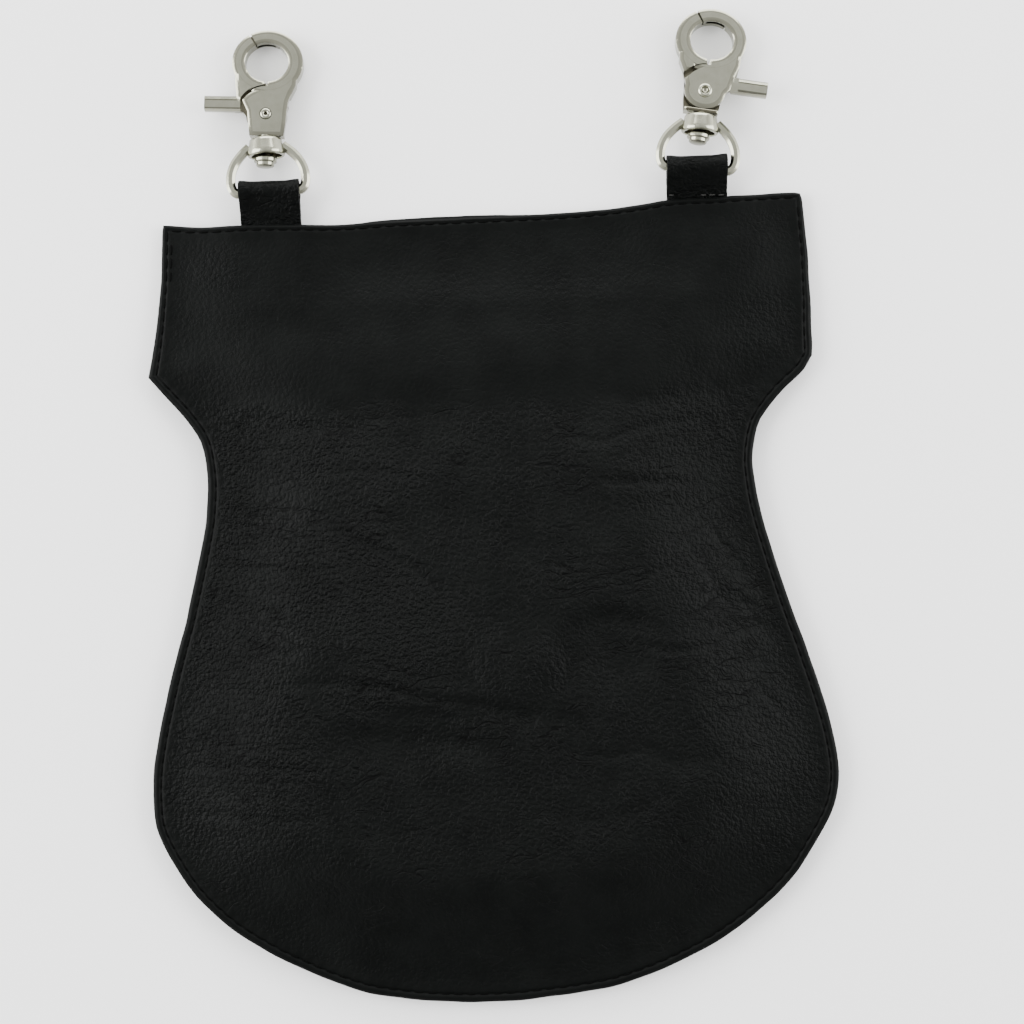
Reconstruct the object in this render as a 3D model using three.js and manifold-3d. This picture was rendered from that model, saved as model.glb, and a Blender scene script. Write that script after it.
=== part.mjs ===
// Clip-on leather belt bag, lying on its front with the back panel up.
// Millimetres, +Z up, +Y towards the clips. The origin is on the flap's flat underside.
import * as THREE from "three";
import { mergeVertices } from "three/addons/utils/BufferGeometryUtils.js";
import Module from "manifold-3d";

const wasm = await Module();
wasm.setup();

// Leather
const LEATHER = 1.4; // thickness of every leather piece
const GAP = 0.3; // running gap between neighbouring pieces

// Bag outline. The top edge is x, y from right to left.
const TOP_EDGE = [
  [98.0, 119.2], [80.0, 118.5], [60.0, 118.2], [34.0, 115.8],
  [0.0, 115.0], [-40.0, 114.1], [-80.0, 114.7], [-94.1, 116.0],
];
const SHOULDER_Y = 70;
const MOUTH_Y = 84; // top of the front panel
// Both flanks from the shoulders down: y, left x, right x.
const FLANKS = [
  [70, -99.7, 99.5],
  [61, -92.1, 91.0],
  [50, -84.6, 82.6],
  [37, -83.0, 80.2],
  [18, -85.6, 83.7],
  [-12, -93.5, 92.2],
  [-40, -100.8, 101.0],
  [-57, -102.5, 102.9],
  [-72, -99.2, 97.8],
  [-88, -89.0, 86.4],
  [-104, -67.8, 65.4],
  [-115, -44.3, 40.6],
];
const BOTTOM = [-5, -120.2];

// The flap has the bag's upper band and a rounded tongue: y, half width.
const TONGUE = [
  [60, 90.5],
  [46, 78],
  [24, 70],
  [-8, 66.5],
  [-32, 53],
  [-46, 29],
];
const TONGUE_END = [0, -51];
const FLAP_PEEK = 0.6; // the flap's right side stands this far past the back panel
const FLAP_RISE = { from: 102, to: 113, height: 0.6 }; // the flap curls up over these y to its seam

// How the layers stack along the seam: y, underside of the front panel.
// Past the mouth the back panel lies on the flap in the same way.
const SEAM_BED = [
  [120, FLAP_RISE.height],
  [111, FLAP_RISE.height],
  [86, 1.9],
  [60, 2.4],
  [-121, 2.4],
];
// Rise of the back panel's middle above its seam: y, rise.
const BACK_RISE = [
  [120, 0],
  [104, 1.6],
  [88, 5.0],
  [60, 6.8],
  [30, 7.6],
  [0, 9.2],
  [-30, 10.2],
  [-65, 10.2],
  [-90, 9.0],
  [-121, 8.0],
];
const HEM = 3.5; // flat strip along the seam
const SHOULDER_WIDTH = 40; // the panel climbs from the hem to its crown over this width
// Soft bumps and hollows in the back panel: x, y, radius x, radius y, height.
const BACK_DENTS = [
  [7, -20, 15, 13, 1.5],
  [35, -16, 17, 13, -1.2],
  [-26, -41, 24, 10, -1.5],
  [-40, -14, 16, 14, 0.9],
  [-60, 30, 20, 26, 0.7],
  [72, -4, 16, 26, 0.8],
];
const DENT_FADE = [0.15, 1.25]; // a bump fades out between these shares of its radius

// The front panel lies over the flap and drops to the floor beyond it.
const FRONT_LIFT_WIDTH = 13; // it climbs from its bed to the seam over this width
const FRONT_DROP = [6, 28]; // distances from the flap's edge where the drop starts and ends

// Magnetic closure between the flap and the front panel
const SNAP = { x: 7, y: -20, radius: 9, height: 2.5 };
const SNAP_SLOPE = [15, 34]; // the front panel comes down between these distances from its middle

// Tabs: folded straps that hold the clips
const TAB_WIDTH = 18.4;
const TAB_INSET = 7; // length inside the seam
const TAB_THICKNESS = 2 * LEATHER;
const LOOP_INNER = 1.95; // radius of the loop around the bar
const LOOP_LENGTH = 5.6; // from the bar to the point where the two layers meet
const LOOP_PLAY = 0.9; // room beyond a leaning bar for the start of its corners
const LOOP_WRAP = 100; // degrees that the loop's outside is round to each side of its tip
const TAB_STRAIGHT = 0.4; // flat length past the bag's edge
const TAB_ROOM = 0.5; // the back panel's clearance over a tab
// The back panel's bump over a tab: half width of its flat top, reach, and the y it rises over.
const TAB_BUMP = { flat: 12, reach: 26, from: 94, to: 105 };

// Clips. Leans are clockwise seen from above and slopes are down towards the ring, in degrees.
const CLIPS = [
  {
    side: "left", bar: [-61.4, 124.3, 6.55], edge: 114.6, flipped: false,
    eyeLean: -2.5, eyeSlope: 4.65, hookLean: 2.9, hookSlope: 4.65,
  },
  {
    side: "right", bar: [66.5, 126.6, 7.85], edge: 118.3, flipped: true,
    eyeLean: 6.6, eyeSlope: 4.5, hookLean: 10.1, hookSlope: 7,
  },
];

// Eye, measured from the middle of its bar
const WIRE = 1.22; // wire radius
// Half of the D from the middle of the bar to the boss: x, y.
const WIRE_PATH = [
  [5, 0], [9.6, 0], [10.95, 1.65], [11.1, 5.2], [9.9, 8.6], [7.7, 11.4], [5.0, 13.8],
];
const BOSS = { bottom: 10.7, top: 15.9, bottomRadius: 5.6, topRadius: 4.8 };
const BORE = { radius: 2.45, wideRadius: 4.1, step: 13.7 };
const PIVOT_Y = 14.6; // middle of the boss's narrow bore

// Hook and trigger, measured from the rivet, with the ring towards +Y and side A towards +Z
const RIVET_TO_PIVOT = 8.6;
const HALF = 2.5; // half of the casting's thickness
const LAP = 0.15; // half of the gap between the two half laps
const RING = {
  x: 0.15, y: 15.75, outerX: 10.6, outerY: 9.75,
  innerX: 6.5, innerY: 5.85, innerShift: -0.25,
};
// Angles in degrees where the arcs end on the ring's outer and inner edges.
// At the top the two half-thick laps pass each other; at the foot both arcs run into the plates.
const RING_FOOT = { right: -22, left: 202, innerRight: -87, innerLeft: 264 };
const BODY_TOP = { plateOuter: 119, plateInner: 124, arcOuter: 57, arcInner: 60 };
const TRIGGER_TOP = { footOuter: 61, footInner: 64, arcOuter: 123, arcInner: 128 };
// Arcs about the rivet where a thick arc faces the other casting: radius, first angle, last angle.
const BODY_PLATE_ARC = [8.4, 153, 93];
const TRIGGER_ARC = [8.8, 150, 94];
const TRIGGER_PLATE_ARC = [8.1, 37, 88];
const BODY_ARC = [8.65, 37, 88];
const BODY_HIP = [7.5, 6.2];
const BODY_RIGHT = [[6.5, 3.4], [6.1, -1]];
const BODY_LEFT = [[-5.3, -1.5], [-5.7, 1.0], [-7.3, 3.7]];
const TRIGGER_HIP = [-8.7, 7.4];
const DISC = { x: 6.1, y: 5.4 }; // the trigger's rounded foot
const NECK = { y: -6.6, top: -5.9, left: -4.65, right: 5.35 };
const STEM = { radius: 2.0, headRadius: 3.15, headTop: -10.1, end: -15.6, overlap: 0.3 };
const LEVER = { tip: -18.4, root: -7.4, low: 1.1, high: 5.3, half: 2.0, chamfer: 0.7 };
const LEVER_BLOCK = 2; // length of the lever's root that is square and half thick
const RIVET = { radius: 1.5, boreRadius: 1.8, headRadius: 2.1, headHeight: 0.45, sink: 0.2 };

const leather = new THREE.MeshStandardMaterial({ color: 0x1b1c1b, roughness: 0.55, metalness: 0 });
const nickel = new THREE.MeshStandardMaterial({ color: 0xc9c8bd, roughness: 0.25, metalness: 1 });
const { smoothstep, degToRad } = THREE.MathUtils;

// The value at y in a table of y, value, where the rows run from high y to low y.
function lookUp(table, y) {
  const below = Math.max(1, table.findIndex((row) => row[0] <= y));
  const [high, low] = [table[below - 1], table[below]];
  return THREE.MathUtils.lerp(low[1], high[1], smoothstep(y, low[0], high[0]));
}

// A smooth curve through points, cut into even steps, without its last point.
function smoothRun(points, steps) {
  const curve = new THREE.CatmullRomCurve3(
    points.map(([x, y]) => new THREE.Vector3(x, y, 0)), false, "centripetal");
  return curve.getSpacedPoints(steps).slice(0, -1).map((p) => new THREE.Vector2(p.x, p.y));
}

// Points of the top edge: the right corner, the tabs with their surroundings, and a few in between.
function topEdge() {
  const curve = new THREE.CatmullRomCurve3(
    TOP_EDGE.map(([x, y]) => new THREE.Vector3(x, y, 0)), false, "centripetal");
  const fine = curve.getSpacedPoints(200);
  const besideTab = (clip) => [20, 12, 0, -12, -20].map((offset) => clip.bar[0] + offset);
  const wanted = [TOP_EDGE[0][0], ...besideTab(CLIPS[1]), 30, 14, -2, -18, -30, ...besideTab(CLIPS[0])];
  return wanted.map((x) => {
    const nearest = fine.reduce((a, b) => (Math.abs(a.x - x) < Math.abs(b.x - x) ? a : b));
    return new THREE.Vector2(nearest.x, nearest.y);
  });
}

// x of the bag's side at a height in the upper band.
function bandSide(y, corner, shoulderX) {
  const share = (y - SHOULDER_Y) / (corner[1] - SHOULDER_Y);
  return THREE.MathUtils.lerp(shoulderX, corner[0], share);
}

// The outline of the back panel, or of the front panel when it is cut at its mouth, counter-clockwise.
function bagOutline(cut) {
  const [right, left] = [TOP_EDGE[0], TOP_EDGE.at(-1)];
  const top = cut ? [bandSide(cut, right, FLANKS[0][2]), cut] : right;
  const far = cut ? [bandSide(cut, left, FLANKS[0][1]), cut] : left;
  return [
    ...(cut ? smoothRun([top, far], 14) : topEdge()),
    ...smoothRun([far, [FLANKS[0][1], SHOULDER_Y]], 4),
    ...smoothRun([...FLANKS.map(([y, x]) => [x, y]), BOTTOM], 22),
    ...smoothRun([BOTTOM, ...FLANKS.map(([y, , x]) => [x, y]).reverse()], 22),
    ...smoothRun([[FLANKS[0][2], SHOULDER_Y], top], 4),
  ];
}

function flapOutline() {
  const left = [FLANKS[0][1], SHOULDER_Y];
  const right = [FLANKS[0][2] + FLAP_PEEK, SHOULDER_Y];
  return [
    ...topEdge(),
    ...smoothRun([TOP_EDGE.at(-1), left], 2),
    ...smoothRun([left, ...TONGUE.map(([y, x]) => [-x, y]), TONGUE_END], 15),
    ...smoothRun([TONGUE_END, ...TONGUE.map(([y, x]) => [x, y]).reverse(), right], 15),
    ...smoothRun([right, TOP_EDGE[0]], 2),
  ];
}

// Distance from a point to a closed outline, positive inside.
function depthInside(outline, x, y) {
  let nearest = Infinity;
  let inside = false;
  outline.forEach((a, i) => {
    const b = outline[(i + 1) % outline.length];
    const [dx, dy] = [b.x - a.x, b.y - a.y];
    const share = THREE.MathUtils.clamp(((x - a.x) * dx + (y - a.y) * dy) / (dx * dx + dy * dy), 0, 1);
    nearest = Math.min(nearest, Math.hypot(x - a.x - share * dx, y - a.y - share * dy));
    if ((a.y > y) !== (b.y > y) && x < a.x + ((y - a.y) / dy) * dx) inside = !inside;
  });
  return inside ? nearest : -nearest;
}

// A leather sheet of even thickness: rings of the outline drawn in to a centre, laid on an underside.
function sheet(outline, centre, rings, underside) {
  const count = outline.length;
  const layers = [];
  for (const lift of [0, LEATHER]) {
    for (const ring of rings) {
      for (const p of outline) {
        const x = THREE.MathUtils.lerp(centre[0], p.x, ring);
        const y = THREE.MathUtils.lerp(centre[1], p.y, ring);
        layers.push(x, y, underside(x, y) + lift);
      }
    }
    layers.push(...centre, underside(...centre) + lift);
  }
  const perSide = rings.length * count + 1;
  const faces = [];
  const quad = (a, b, c, d) => faces.push(a, b, c, a, c, d);
  for (let i = 0; i < count; i++) {
    const next = (i + 1) % count;
    for (let r = 0; r < rings.length - 1; r++) {
      const [outer, outerNext] = [r * count + i, r * count + next];
      const [inner, innerNext] = [outer + count, outerNext + count];
      quad(outer, inner, innerNext, outerNext);
      quad(perSide + outer, perSide + outerNext, perSide + innerNext, perSide + inner);
    }
    const last = (rings.length - 1) * count;
    faces.push(last + i, perSide - 1, last + next);
    faces.push(perSide + last + i, perSide + last + next, 2 * perSide - 1);
    quad(i, next, perSide + next, perSide + i);
  }
  const geometry = new THREE.BufferGeometry();
  geometry.setAttribute("position", new THREE.Float32BufferAttribute(layers, 3));
  geometry.setIndex(faces);
  return geometry;
}

// 1 over the middle of a soft round patch, 0 outside it.
function patch(x, y, [cx, cy, rx, ry]) {
  return 1 - smoothstep(Math.hypot((x - cx) / rx, (y - cy) / ry), ...DENT_FADE);
}

// 1 over the inner ends of the tabs, 0 away from them.
function overTabs(x, y) {
  const nearest = Math.min(...CLIPS.map(({ bar }) => Math.abs(x - bar[0])));
  const { flat, reach, from, to } = TAB_BUMP;
  return (1 - smoothstep(nearest, flat, reach)) * smoothstep(y, from, to);
}

const BAG = bagOutline();
const FRONT = bagOutline(MOUTH_Y);
const FLAP = flapOutline();
const SNAP_PLACE = [SNAP.x, SNAP.y];

function flapUnderside(x, y) {
  return FLAP_RISE.height * smoothstep(y, FLAP_RISE.from, FLAP_RISE.to);
}

function frontUnderside(x, y) {
  const outsideFlap = -depthInside(FLAP, x, y);
  const bed = (LEATHER + GAP) * (1 - smoothstep(outsideFlap, ...FRONT_DROP));
  const fromSnap = Math.hypot(x - SNAP.x, y - SNAP.y);
  const snap = (SNAP.height + GAP) * (1 - smoothstep(fromSnap, ...SNAP_SLOPE));
  const nearEdge = 1 - smoothstep(depthInside(BAG, x, y), 0, FRONT_LIFT_WIDTH);
  return THREE.MathUtils.lerp(bed + snap, lookUp(SEAM_BED, y), nearEdge);
}

function backUnderside(x, y) {
  const climb = smoothstep(depthInside(BAG, x, y), HEM, SHOULDER_WIDTH);
  const dents = BACK_DENTS.reduce((sum, row) => sum + row[4] * patch(x, y, row), 0);
  const seam = lookUp(SEAM_BED, y) + LEATHER + GAP + (TAB_THICKNESS + TAB_ROOM) * overTabs(x, y);
  return seam + (lookUp(BACK_RISE, y) + dents) * climb;
}

// A closed mesh from any three.js geometry, with shared corners and faces pointing out.
function solid(geometry) {
  const plain = geometry.clone();
  plain.deleteAttribute("normal");
  plain.deleteAttribute("uv");
  const merged = mergeVertices(plain, 1e-4);
  const vertProperties = new Float32Array(merged.attributes.position.array);
  const corners = merged.index.array;
  const kept = [];
  for (let i = 0; i < corners.length; i += 3) {
    const [a, b, c] = corners.slice(i, i + 3);
    if (a !== b && b !== c && c !== a) kept.push(a, b, c);
  }
  const made = (order) => new wasm.Manifold(
    new wasm.Mesh({ numProp: 3, vertProperties, triVerts: new Uint32Array(order) }));
  const body = made(kept);
  return body.volume() > 0 ? body : made(kept.reverse());
}

function geometryOf(body) {
  const mesh = body.getMesh();
  const geometry = new THREE.BufferGeometry();
  geometry.setAttribute("position", new THREE.Float32BufferAttribute(mesh.vertProperties, 3));
  geometry.setIndex(new THREE.Uint32BufferAttribute(mesh.triVerts, 1));
  return geometry;
}

// A flat outline raised from one height to another.
function raised(shape, low, high) {
  const geometry = new THREE.ExtrudeGeometry(shape, { depth: high - low, bevelEnabled: false });
  return solid(geometry.translate(0, 0, low));
}

// A round body about the Y axis from a profile of radius, y.
function turned(profile, segments = 24) {
  return solid(new THREE.LatheGeometry(profile.map(([r, y]) => new THREE.Vector2(r, y)), segments));
}

function cylinderAlongZ(radius, low, high, segments) {
  const geometry = new THREE.CylinderGeometry(radius, radius, high - low, segments);
  return solid(geometry.rotateX(Math.PI / 2).translate(0, 0, (low + high) / 2));
}

// Points on the ring's outer or inner ellipse, from one angle to another in degrees.
function ringPoints(which, from, to, steps) {
  const inner = which === "inner";
  const [rx, ry] = inner ? [RING.innerX, RING.innerY] : [RING.outerX, RING.outerY];
  const x = RING.x + (inner ? RING.innerShift : 0);
  return Array.from({ length: steps + 1 }, (_, i) => {
    const angle = degToRad(from + ((to - from) * i) / steps);
    return [x + rx * Math.cos(angle), RING.y + ry * Math.sin(angle)];
  });
}

// Points on an arc about the middle, from one angle to another in degrees.
function arcPoints([radius, from, to], steps) {
  return Array.from({ length: steps + 1 }, (_, i) => {
    const angle = degToRad(from + ((to - from) * i) / steps);
    return [radius * Math.cos(angle), radius * Math.sin(angle)];
  });
}

const shapeOf = (points) => new THREE.Shape(points.map(([x, y]) => new THREE.Vector2(x, y)));

// The folded strap of one tab: a teardrop loop round the bar and a flat end inside the seam.
function tabGeometry({ bar, edge, eyeLean }) {
  const [, barY, barZ] = bar;
  const low = FLAP_RISE.height + LEATHER + GAP;
  const middle = low + TAB_THICKNESS / 2;
  const slope = Math.atan2(barZ - middle, barY - edge);
  // The loop is longer where the bar leans in it.
  const leaning = (TAB_WIDTH / 2) * Math.sin(degToRad(Math.abs(eyeLean)));
  const reach = Math.max(0, leaning + WIRE + LOOP_PLAY - LOOP_INNER);
  const along = ([a, b]) => [
    barY + a * Math.cos(slope) - b * Math.sin(slope),
    barZ + a * Math.sin(slope) + b * Math.cos(slope),
  ];
  const round = (radius, wrap) => arcPoints([radius, -wrap, wrap], 8)
    .map(([a, b]) => along([a + reach, b]));
  const outer = [
    [edge - TAB_INSET, low],
    [edge + TAB_STRAIGHT, low],
    ...round(LOOP_INNER + LEATHER, LOOP_WRAP),
    [edge + TAB_STRAIGHT, low + TAB_THICKNESS],
    [edge - TAB_INSET, low + TAB_THICKNESS],
  ];
  const shape = shapeOf(outer);
  const hole = [
    ...round(LOOP_INNER, 90),
    along([-leaning, LOOP_INNER]),
    along([-LOOP_LENGTH, 0]),
    along([-leaning, -LOOP_INNER]),
  ];
  shape.holes.push(new THREE.Path(hole.map(([y, z]) => new THREE.Vector2(y, z))));
  const geometry = new THREE.ExtrudeGeometry(shape, { depth: TAB_WIDTH, bevelEnabled: false });
  geometry.translate(0, 0, bar[0] - TAB_WIDTH / 2);
  const [x, y, z] = [new THREE.Vector3(1, 0, 0), new THREE.Vector3(0, 1, 0), new THREE.Vector3(0, 0, 1)];
  return geometryOf(solid(geometry.applyMatrix4(new THREE.Matrix4().makeBasis(y, z, x))));
}

function snapGeometry() {
  const geometry = new THREE.CylinderGeometry(SNAP.radius, SNAP.radius, SNAP.height, 24);
  const low = LEATHER + GAP;
  return geometry.rotateX(Math.PI / 2).translate(SNAP.x, SNAP.y, low + SNAP.height / 2);
}

// D-ring and swivel boss, cast as one piece.
function eyeGeometry() {
  const half = WIRE_PATH.map(([x, y]) => new THREE.Vector3(x, y, 0));
  const mirrored = WIRE_PATH.map(([x, y]) => new THREE.Vector3(-x, y, 0)).reverse();
  const path = new THREE.CatmullRomCurve3([...mirrored, ...half], false, "centripetal");
  const section = shapeOf(arcPoints([WIRE, 0, 360], 8).slice(0, -1));
  const sweep = { steps: 40, extrudePath: path, bevelEnabled: false };
  const wire = solid(new THREE.ExtrudeGeometry(section, sweep));
  const boss = turned([
    [0, BOSS.bottom],
    [BOSS.bottomRadius, BOSS.bottom],
    [BOSS.topRadius, BOSS.top],
    [0, BOSS.top],
  ]);
  const bore = turned([
    [0, BOSS.bottom - 1],
    [BORE.wideRadius, BOSS.bottom - 1],
    [BORE.wideRadius, BORE.step],
    [BORE.radius, BORE.step],
    [BORE.radius, BOSS.top + 1],
    [0, BOSS.top + 1],
  ]);
  return geometryOf(wire.add(boss).subtract(bore));
}

// Hook body: a half-thick plate on side A, the right arc of the ring at full thickness, neck and stem.
function hookGeometry() {
  const plate = raised(shapeOf([
    ...ringPoints("outer", BODY_TOP.plateOuter, RING_FOOT.right, 14),
    BODY_HIP,
    ...BODY_RIGHT,
    [NECK.right, NECK.y],
    [NECK.left, NECK.y],
    ...BODY_LEFT,
    ...arcPoints(BODY_PLATE_ARC, 6),
    ...ringPoints("inner", RING_FOOT.innerRight, BODY_TOP.plateInner, 18),
  ]), LAP, HALF);
  const arc = raised(shapeOf([
    ...ringPoints("outer", BODY_TOP.arcOuter, RING_FOOT.right, 8),
    BODY_HIP,
    ...arcPoints(BODY_ARC, 5),
    ...ringPoints("inner", RING_FOOT.innerRight, BODY_TOP.arcInner, 12),
  ]), -HALF, HALF);
  const collar = raised(shapeOf([
    [NECK.right, NECK.y], [NECK.right, NECK.top], [NECK.left, NECK.top], [NECK.left, NECK.y],
  ]), -HALF, HALF);
  const stem = turned([
    [0, STEM.end],
    [STEM.headRadius, STEM.end],
    [STEM.headRadius, STEM.headTop],
    [STEM.radius, STEM.headTop],
    [STEM.radius, NECK.y + STEM.overlap],
    [0, NECK.y + STEM.overlap],
  ], 16);
  const bore = cylinderAlongZ(RIVET.boreRadius, -HALF - 1, HALF + 1, 16);
  return geometryOf(plate.add(arc).add(collar).subtract(bore).add(stem));
}

// Trigger: a half-thick foot on side B, the left arc of the ring at full thickness, and the thumb lever.
function triggerGeometry() {
  const foot = raised(shapeOf([
    ...ringPoints("outer", TRIGGER_TOP.footOuter, RING_FOOT.left, 14),
    TRIGGER_HIP,
    [LEVER.root - LEVER_BLOCK / 2, LEVER.high],
    [LEVER.root, LEVER.low],
    ...arcPoints([1, 180, 360], 12).map(([x, y]) => [x * DISC.x, y * DISC.y]),
    ...arcPoints(TRIGGER_PLATE_ARC, 5),
    ...ringPoints("inner", RING_FOOT.innerLeft, TRIGGER_TOP.footInner, 16),
  ]), -HALF, -LAP);
  const arc = raised(shapeOf([
    ...ringPoints("outer", TRIGGER_TOP.arcOuter, RING_FOOT.left, 8),
    TRIGGER_HIP,
    [LEVER.root - LEVER_BLOCK, LEVER.high],
    ...arcPoints(TRIGGER_ARC, 6),
    ...ringPoints("inner", RING_FOOT.innerLeft, TRIGGER_TOP.arcInner, 10),
  ]), -HALF, HALF);
  const { low, high, half, chamfer } = LEVER;
  const bar = raised(shapeOf([
    [half, low + chamfer], [half, high - chamfer], [half - chamfer, high], [chamfer - half, high],
    [-half, high - chamfer], [-half, low + chamfer], [chamfer - half, low], [half - chamfer, low],
  ]), LEVER.tip, LEVER.root - LEVER_BLOCK + LAP).rotate([0, 90, 0]);
  const [near, far] = [LEVER.root, LEVER.root - LEVER_BLOCK];
  const root = raised(shapeOf([[far, high], [far, low], [near, low], [near, high]]), -half, -LAP);
  const bore = cylinderAlongZ(RIVET.boreRadius, -HALF - 1, HALF + 1, 16);
  return geometryOf(foot.add(arc).add(bar).add(root).subtract(bore));
}

// Rivet along Z with its flared head on side B.
function rivetGeometry() {
  const top = HALF - RIVET.sink;
  const shank = cylinderAlongZ(RIVET.radius, -HALF - RIVET.headHeight, top, 16);
  const head = cylinderAlongZ(RIVET.headRadius, -HALF - GAP - RIVET.headHeight, -HALF - GAP, 16);
  return geometryOf(shank.add(head));
}

const bag = new THREE.Group();

function addPiece(parent, name, geometry, material) {
  geometry.computeVertexNormals();
  const mesh = new THREE.Mesh(geometry, material);
  mesh.name = name;
  parent.add(mesh);
  return mesh;
}

// A group at a place, leaning clockwise and sloping down, turned over when it is flipped.
function placedGroup(position, lean, slope, flipped) {
  const group = new THREE.Group();
  group.position.copy(position);
  group.rotation.set(-degToRad(slope), flipped ? Math.PI : 0, -degToRad(lean), "ZXY");
  bag.add(group);
  group.updateMatrix();
  return group;
}

const PANEL_RINGS = [1, 0.972, 0.935, 0.875, 0.79, 0.68, 0.56, 0.44, 0.32, 0.21, 0.11];
const FRONT_RINGS = [1, 0.95, 0.87, 0.74, 0.6, 0.46, 0.33, 0.22, 0.12];
const FLAP_RINGS = [1, 0.93, 0.84, 0.5];

addPiece(bag, "back_panel", sheet(BAG, SNAP_PLACE, PANEL_RINGS, backUnderside), leather);
addPiece(bag, "front_panel", sheet(FRONT, SNAP_PLACE, FRONT_RINGS, frontUnderside), leather);
addPiece(bag, "flap", sheet(FLAP, [0, 30], FLAP_RINGS, flapUnderside), leather);
addPiece(bag, "closure_snap", snapGeometry(), nickel);

for (const clip of CLIPS) {
  addPiece(bag, `tab_${clip.side}`, tabGeometry(clip), leather);
  const eye = placedGroup(new THREE.Vector3(...clip.bar), clip.eyeLean, clip.eyeSlope, false);
  addPiece(eye, `eye_${clip.side}`, eyeGeometry(), nickel);
  const pivot = new THREE.Vector3(0, PIVOT_Y, 0).applyMatrix4(eye.matrix);
  const hook = placedGroup(pivot, clip.hookLean, clip.hookSlope, clip.flipped);
  addPiece(hook, `hook_${clip.side}`, hookGeometry(), nickel).position.y = RIVET_TO_PIVOT;
  addPiece(hook, `trigger_${clip.side}`, triggerGeometry(), nickel).position.y = RIVET_TO_PIVOT;
  addPiece(hook, `rivet_${clip.side}`, rivetGeometry(), nickel).position.y = RIVET_TO_PIVOT;
}

export default bag;
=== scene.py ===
from math import atan, atan2, ceil, cos, pi, radians, sin, sqrt

import bmesh
import bpy
import numpy as np
from mathutils import Matrix, Vector, noise
from mathutils.bvhtree import BVHTree
from mathutils.geometry import area_tri, tessellate_polygon


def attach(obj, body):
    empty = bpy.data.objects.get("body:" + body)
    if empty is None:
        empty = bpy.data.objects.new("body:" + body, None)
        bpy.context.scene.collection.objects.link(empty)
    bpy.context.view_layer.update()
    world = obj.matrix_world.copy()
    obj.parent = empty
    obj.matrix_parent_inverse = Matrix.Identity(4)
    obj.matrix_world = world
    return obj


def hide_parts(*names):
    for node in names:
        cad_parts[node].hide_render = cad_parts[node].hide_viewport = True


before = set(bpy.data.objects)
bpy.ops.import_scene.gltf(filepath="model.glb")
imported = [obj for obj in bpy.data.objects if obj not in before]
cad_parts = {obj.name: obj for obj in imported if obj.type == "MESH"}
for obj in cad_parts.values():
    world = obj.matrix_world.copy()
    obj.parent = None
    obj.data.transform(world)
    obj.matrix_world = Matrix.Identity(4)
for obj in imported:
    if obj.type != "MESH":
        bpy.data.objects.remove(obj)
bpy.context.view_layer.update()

# Lengths in this script are in millimetres until a mesh is finished.
TO_METRES = Matrix.Scale(0.001, 4)
SORTING_LINE = Vector((0.737, 0.511, 0.442))  # a direction along which hardly any two points are level

# ---------------------------------------------------------------- camera, floor and light

VIEW_HALF_WIDTH, VIEW_DISTANCE = 0.1536, 0.670  # in metres, at the height of the bag's edges
VIEW_PLANE_HEIGHT = 0.004

camera = bpy.data.objects.new("camera", bpy.data.cameras.new("camera"))
bpy.context.collection.objects.link(camera)
camera.data.sensor_width = 36
camera.data.angle = 2 * atan(VIEW_HALF_WIDTH / VIEW_DISTANCE)
camera.location = (0.0078, 0.0261, VIEW_DISTANCE + VIEW_PLANE_HEIGHT)
camera.rotation_euler = (0, 0, radians(-2))
bpy.context.scene.camera = camera


def new_material(name):
    """A material and its shader."""
    material = bpy.data.materials.new(name)
    material.use_nodes = True
    return material, material.node_tree.nodes["Principled BSDF"]


def lay_floor():
    material, shader = new_material("pale floor")
    shader.inputs["Base Color"].default_value = (0.96, 0.96, 0.96, 1)
    shader.inputs["Roughness"].default_value = 0.9
    bm = bmesh.new()
    bmesh.ops.create_grid(bm, x_segments=1, y_segments=1, size=3)
    mesh = bpy.data.meshes.new("floor")
    bm.to_mesh(mesh)
    bm.free()
    floor = bpy.data.objects.new("floor", mesh)
    bpy.context.collection.objects.link(floor)
    mesh.materials.append(material)


def soft_box(name, place, size, power):
    light = bpy.data.lights.new(name, "AREA")
    light.shape = "RECTANGLE"
    light.size, light.size_y = size
    light.energy = power
    lamp = bpy.data.objects.new(name, light)
    bpy.context.collection.objects.link(lamp)
    lamp.location = place
    lamp.rotation_euler = (-Vector(place)).to_track_quat("-Z", "Y").to_euler()


lay_floor()

CEILING, LEFT_GLOW, RIGHT_GLOW, FAR_GLOW, HORIZON, DIMMEST = 0.88, 1.05, 0.75, 0.56, 1.3, 0.06
SOFT_BOXES = [  # name, place, width and height in metres, power in watts
    ("left soft box", (-1.2, 0.2, 0.55), (1.1, 1.4), 44),
    ("right soft box", (1.25, 0.15, 0.5), (1.0, 1.4), 32),
    ("far soft box", (0.1, 1.3, 0.45), (1.6, 0.8), 30),
]

# ---------------------------------------------------------------- finishes


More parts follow.
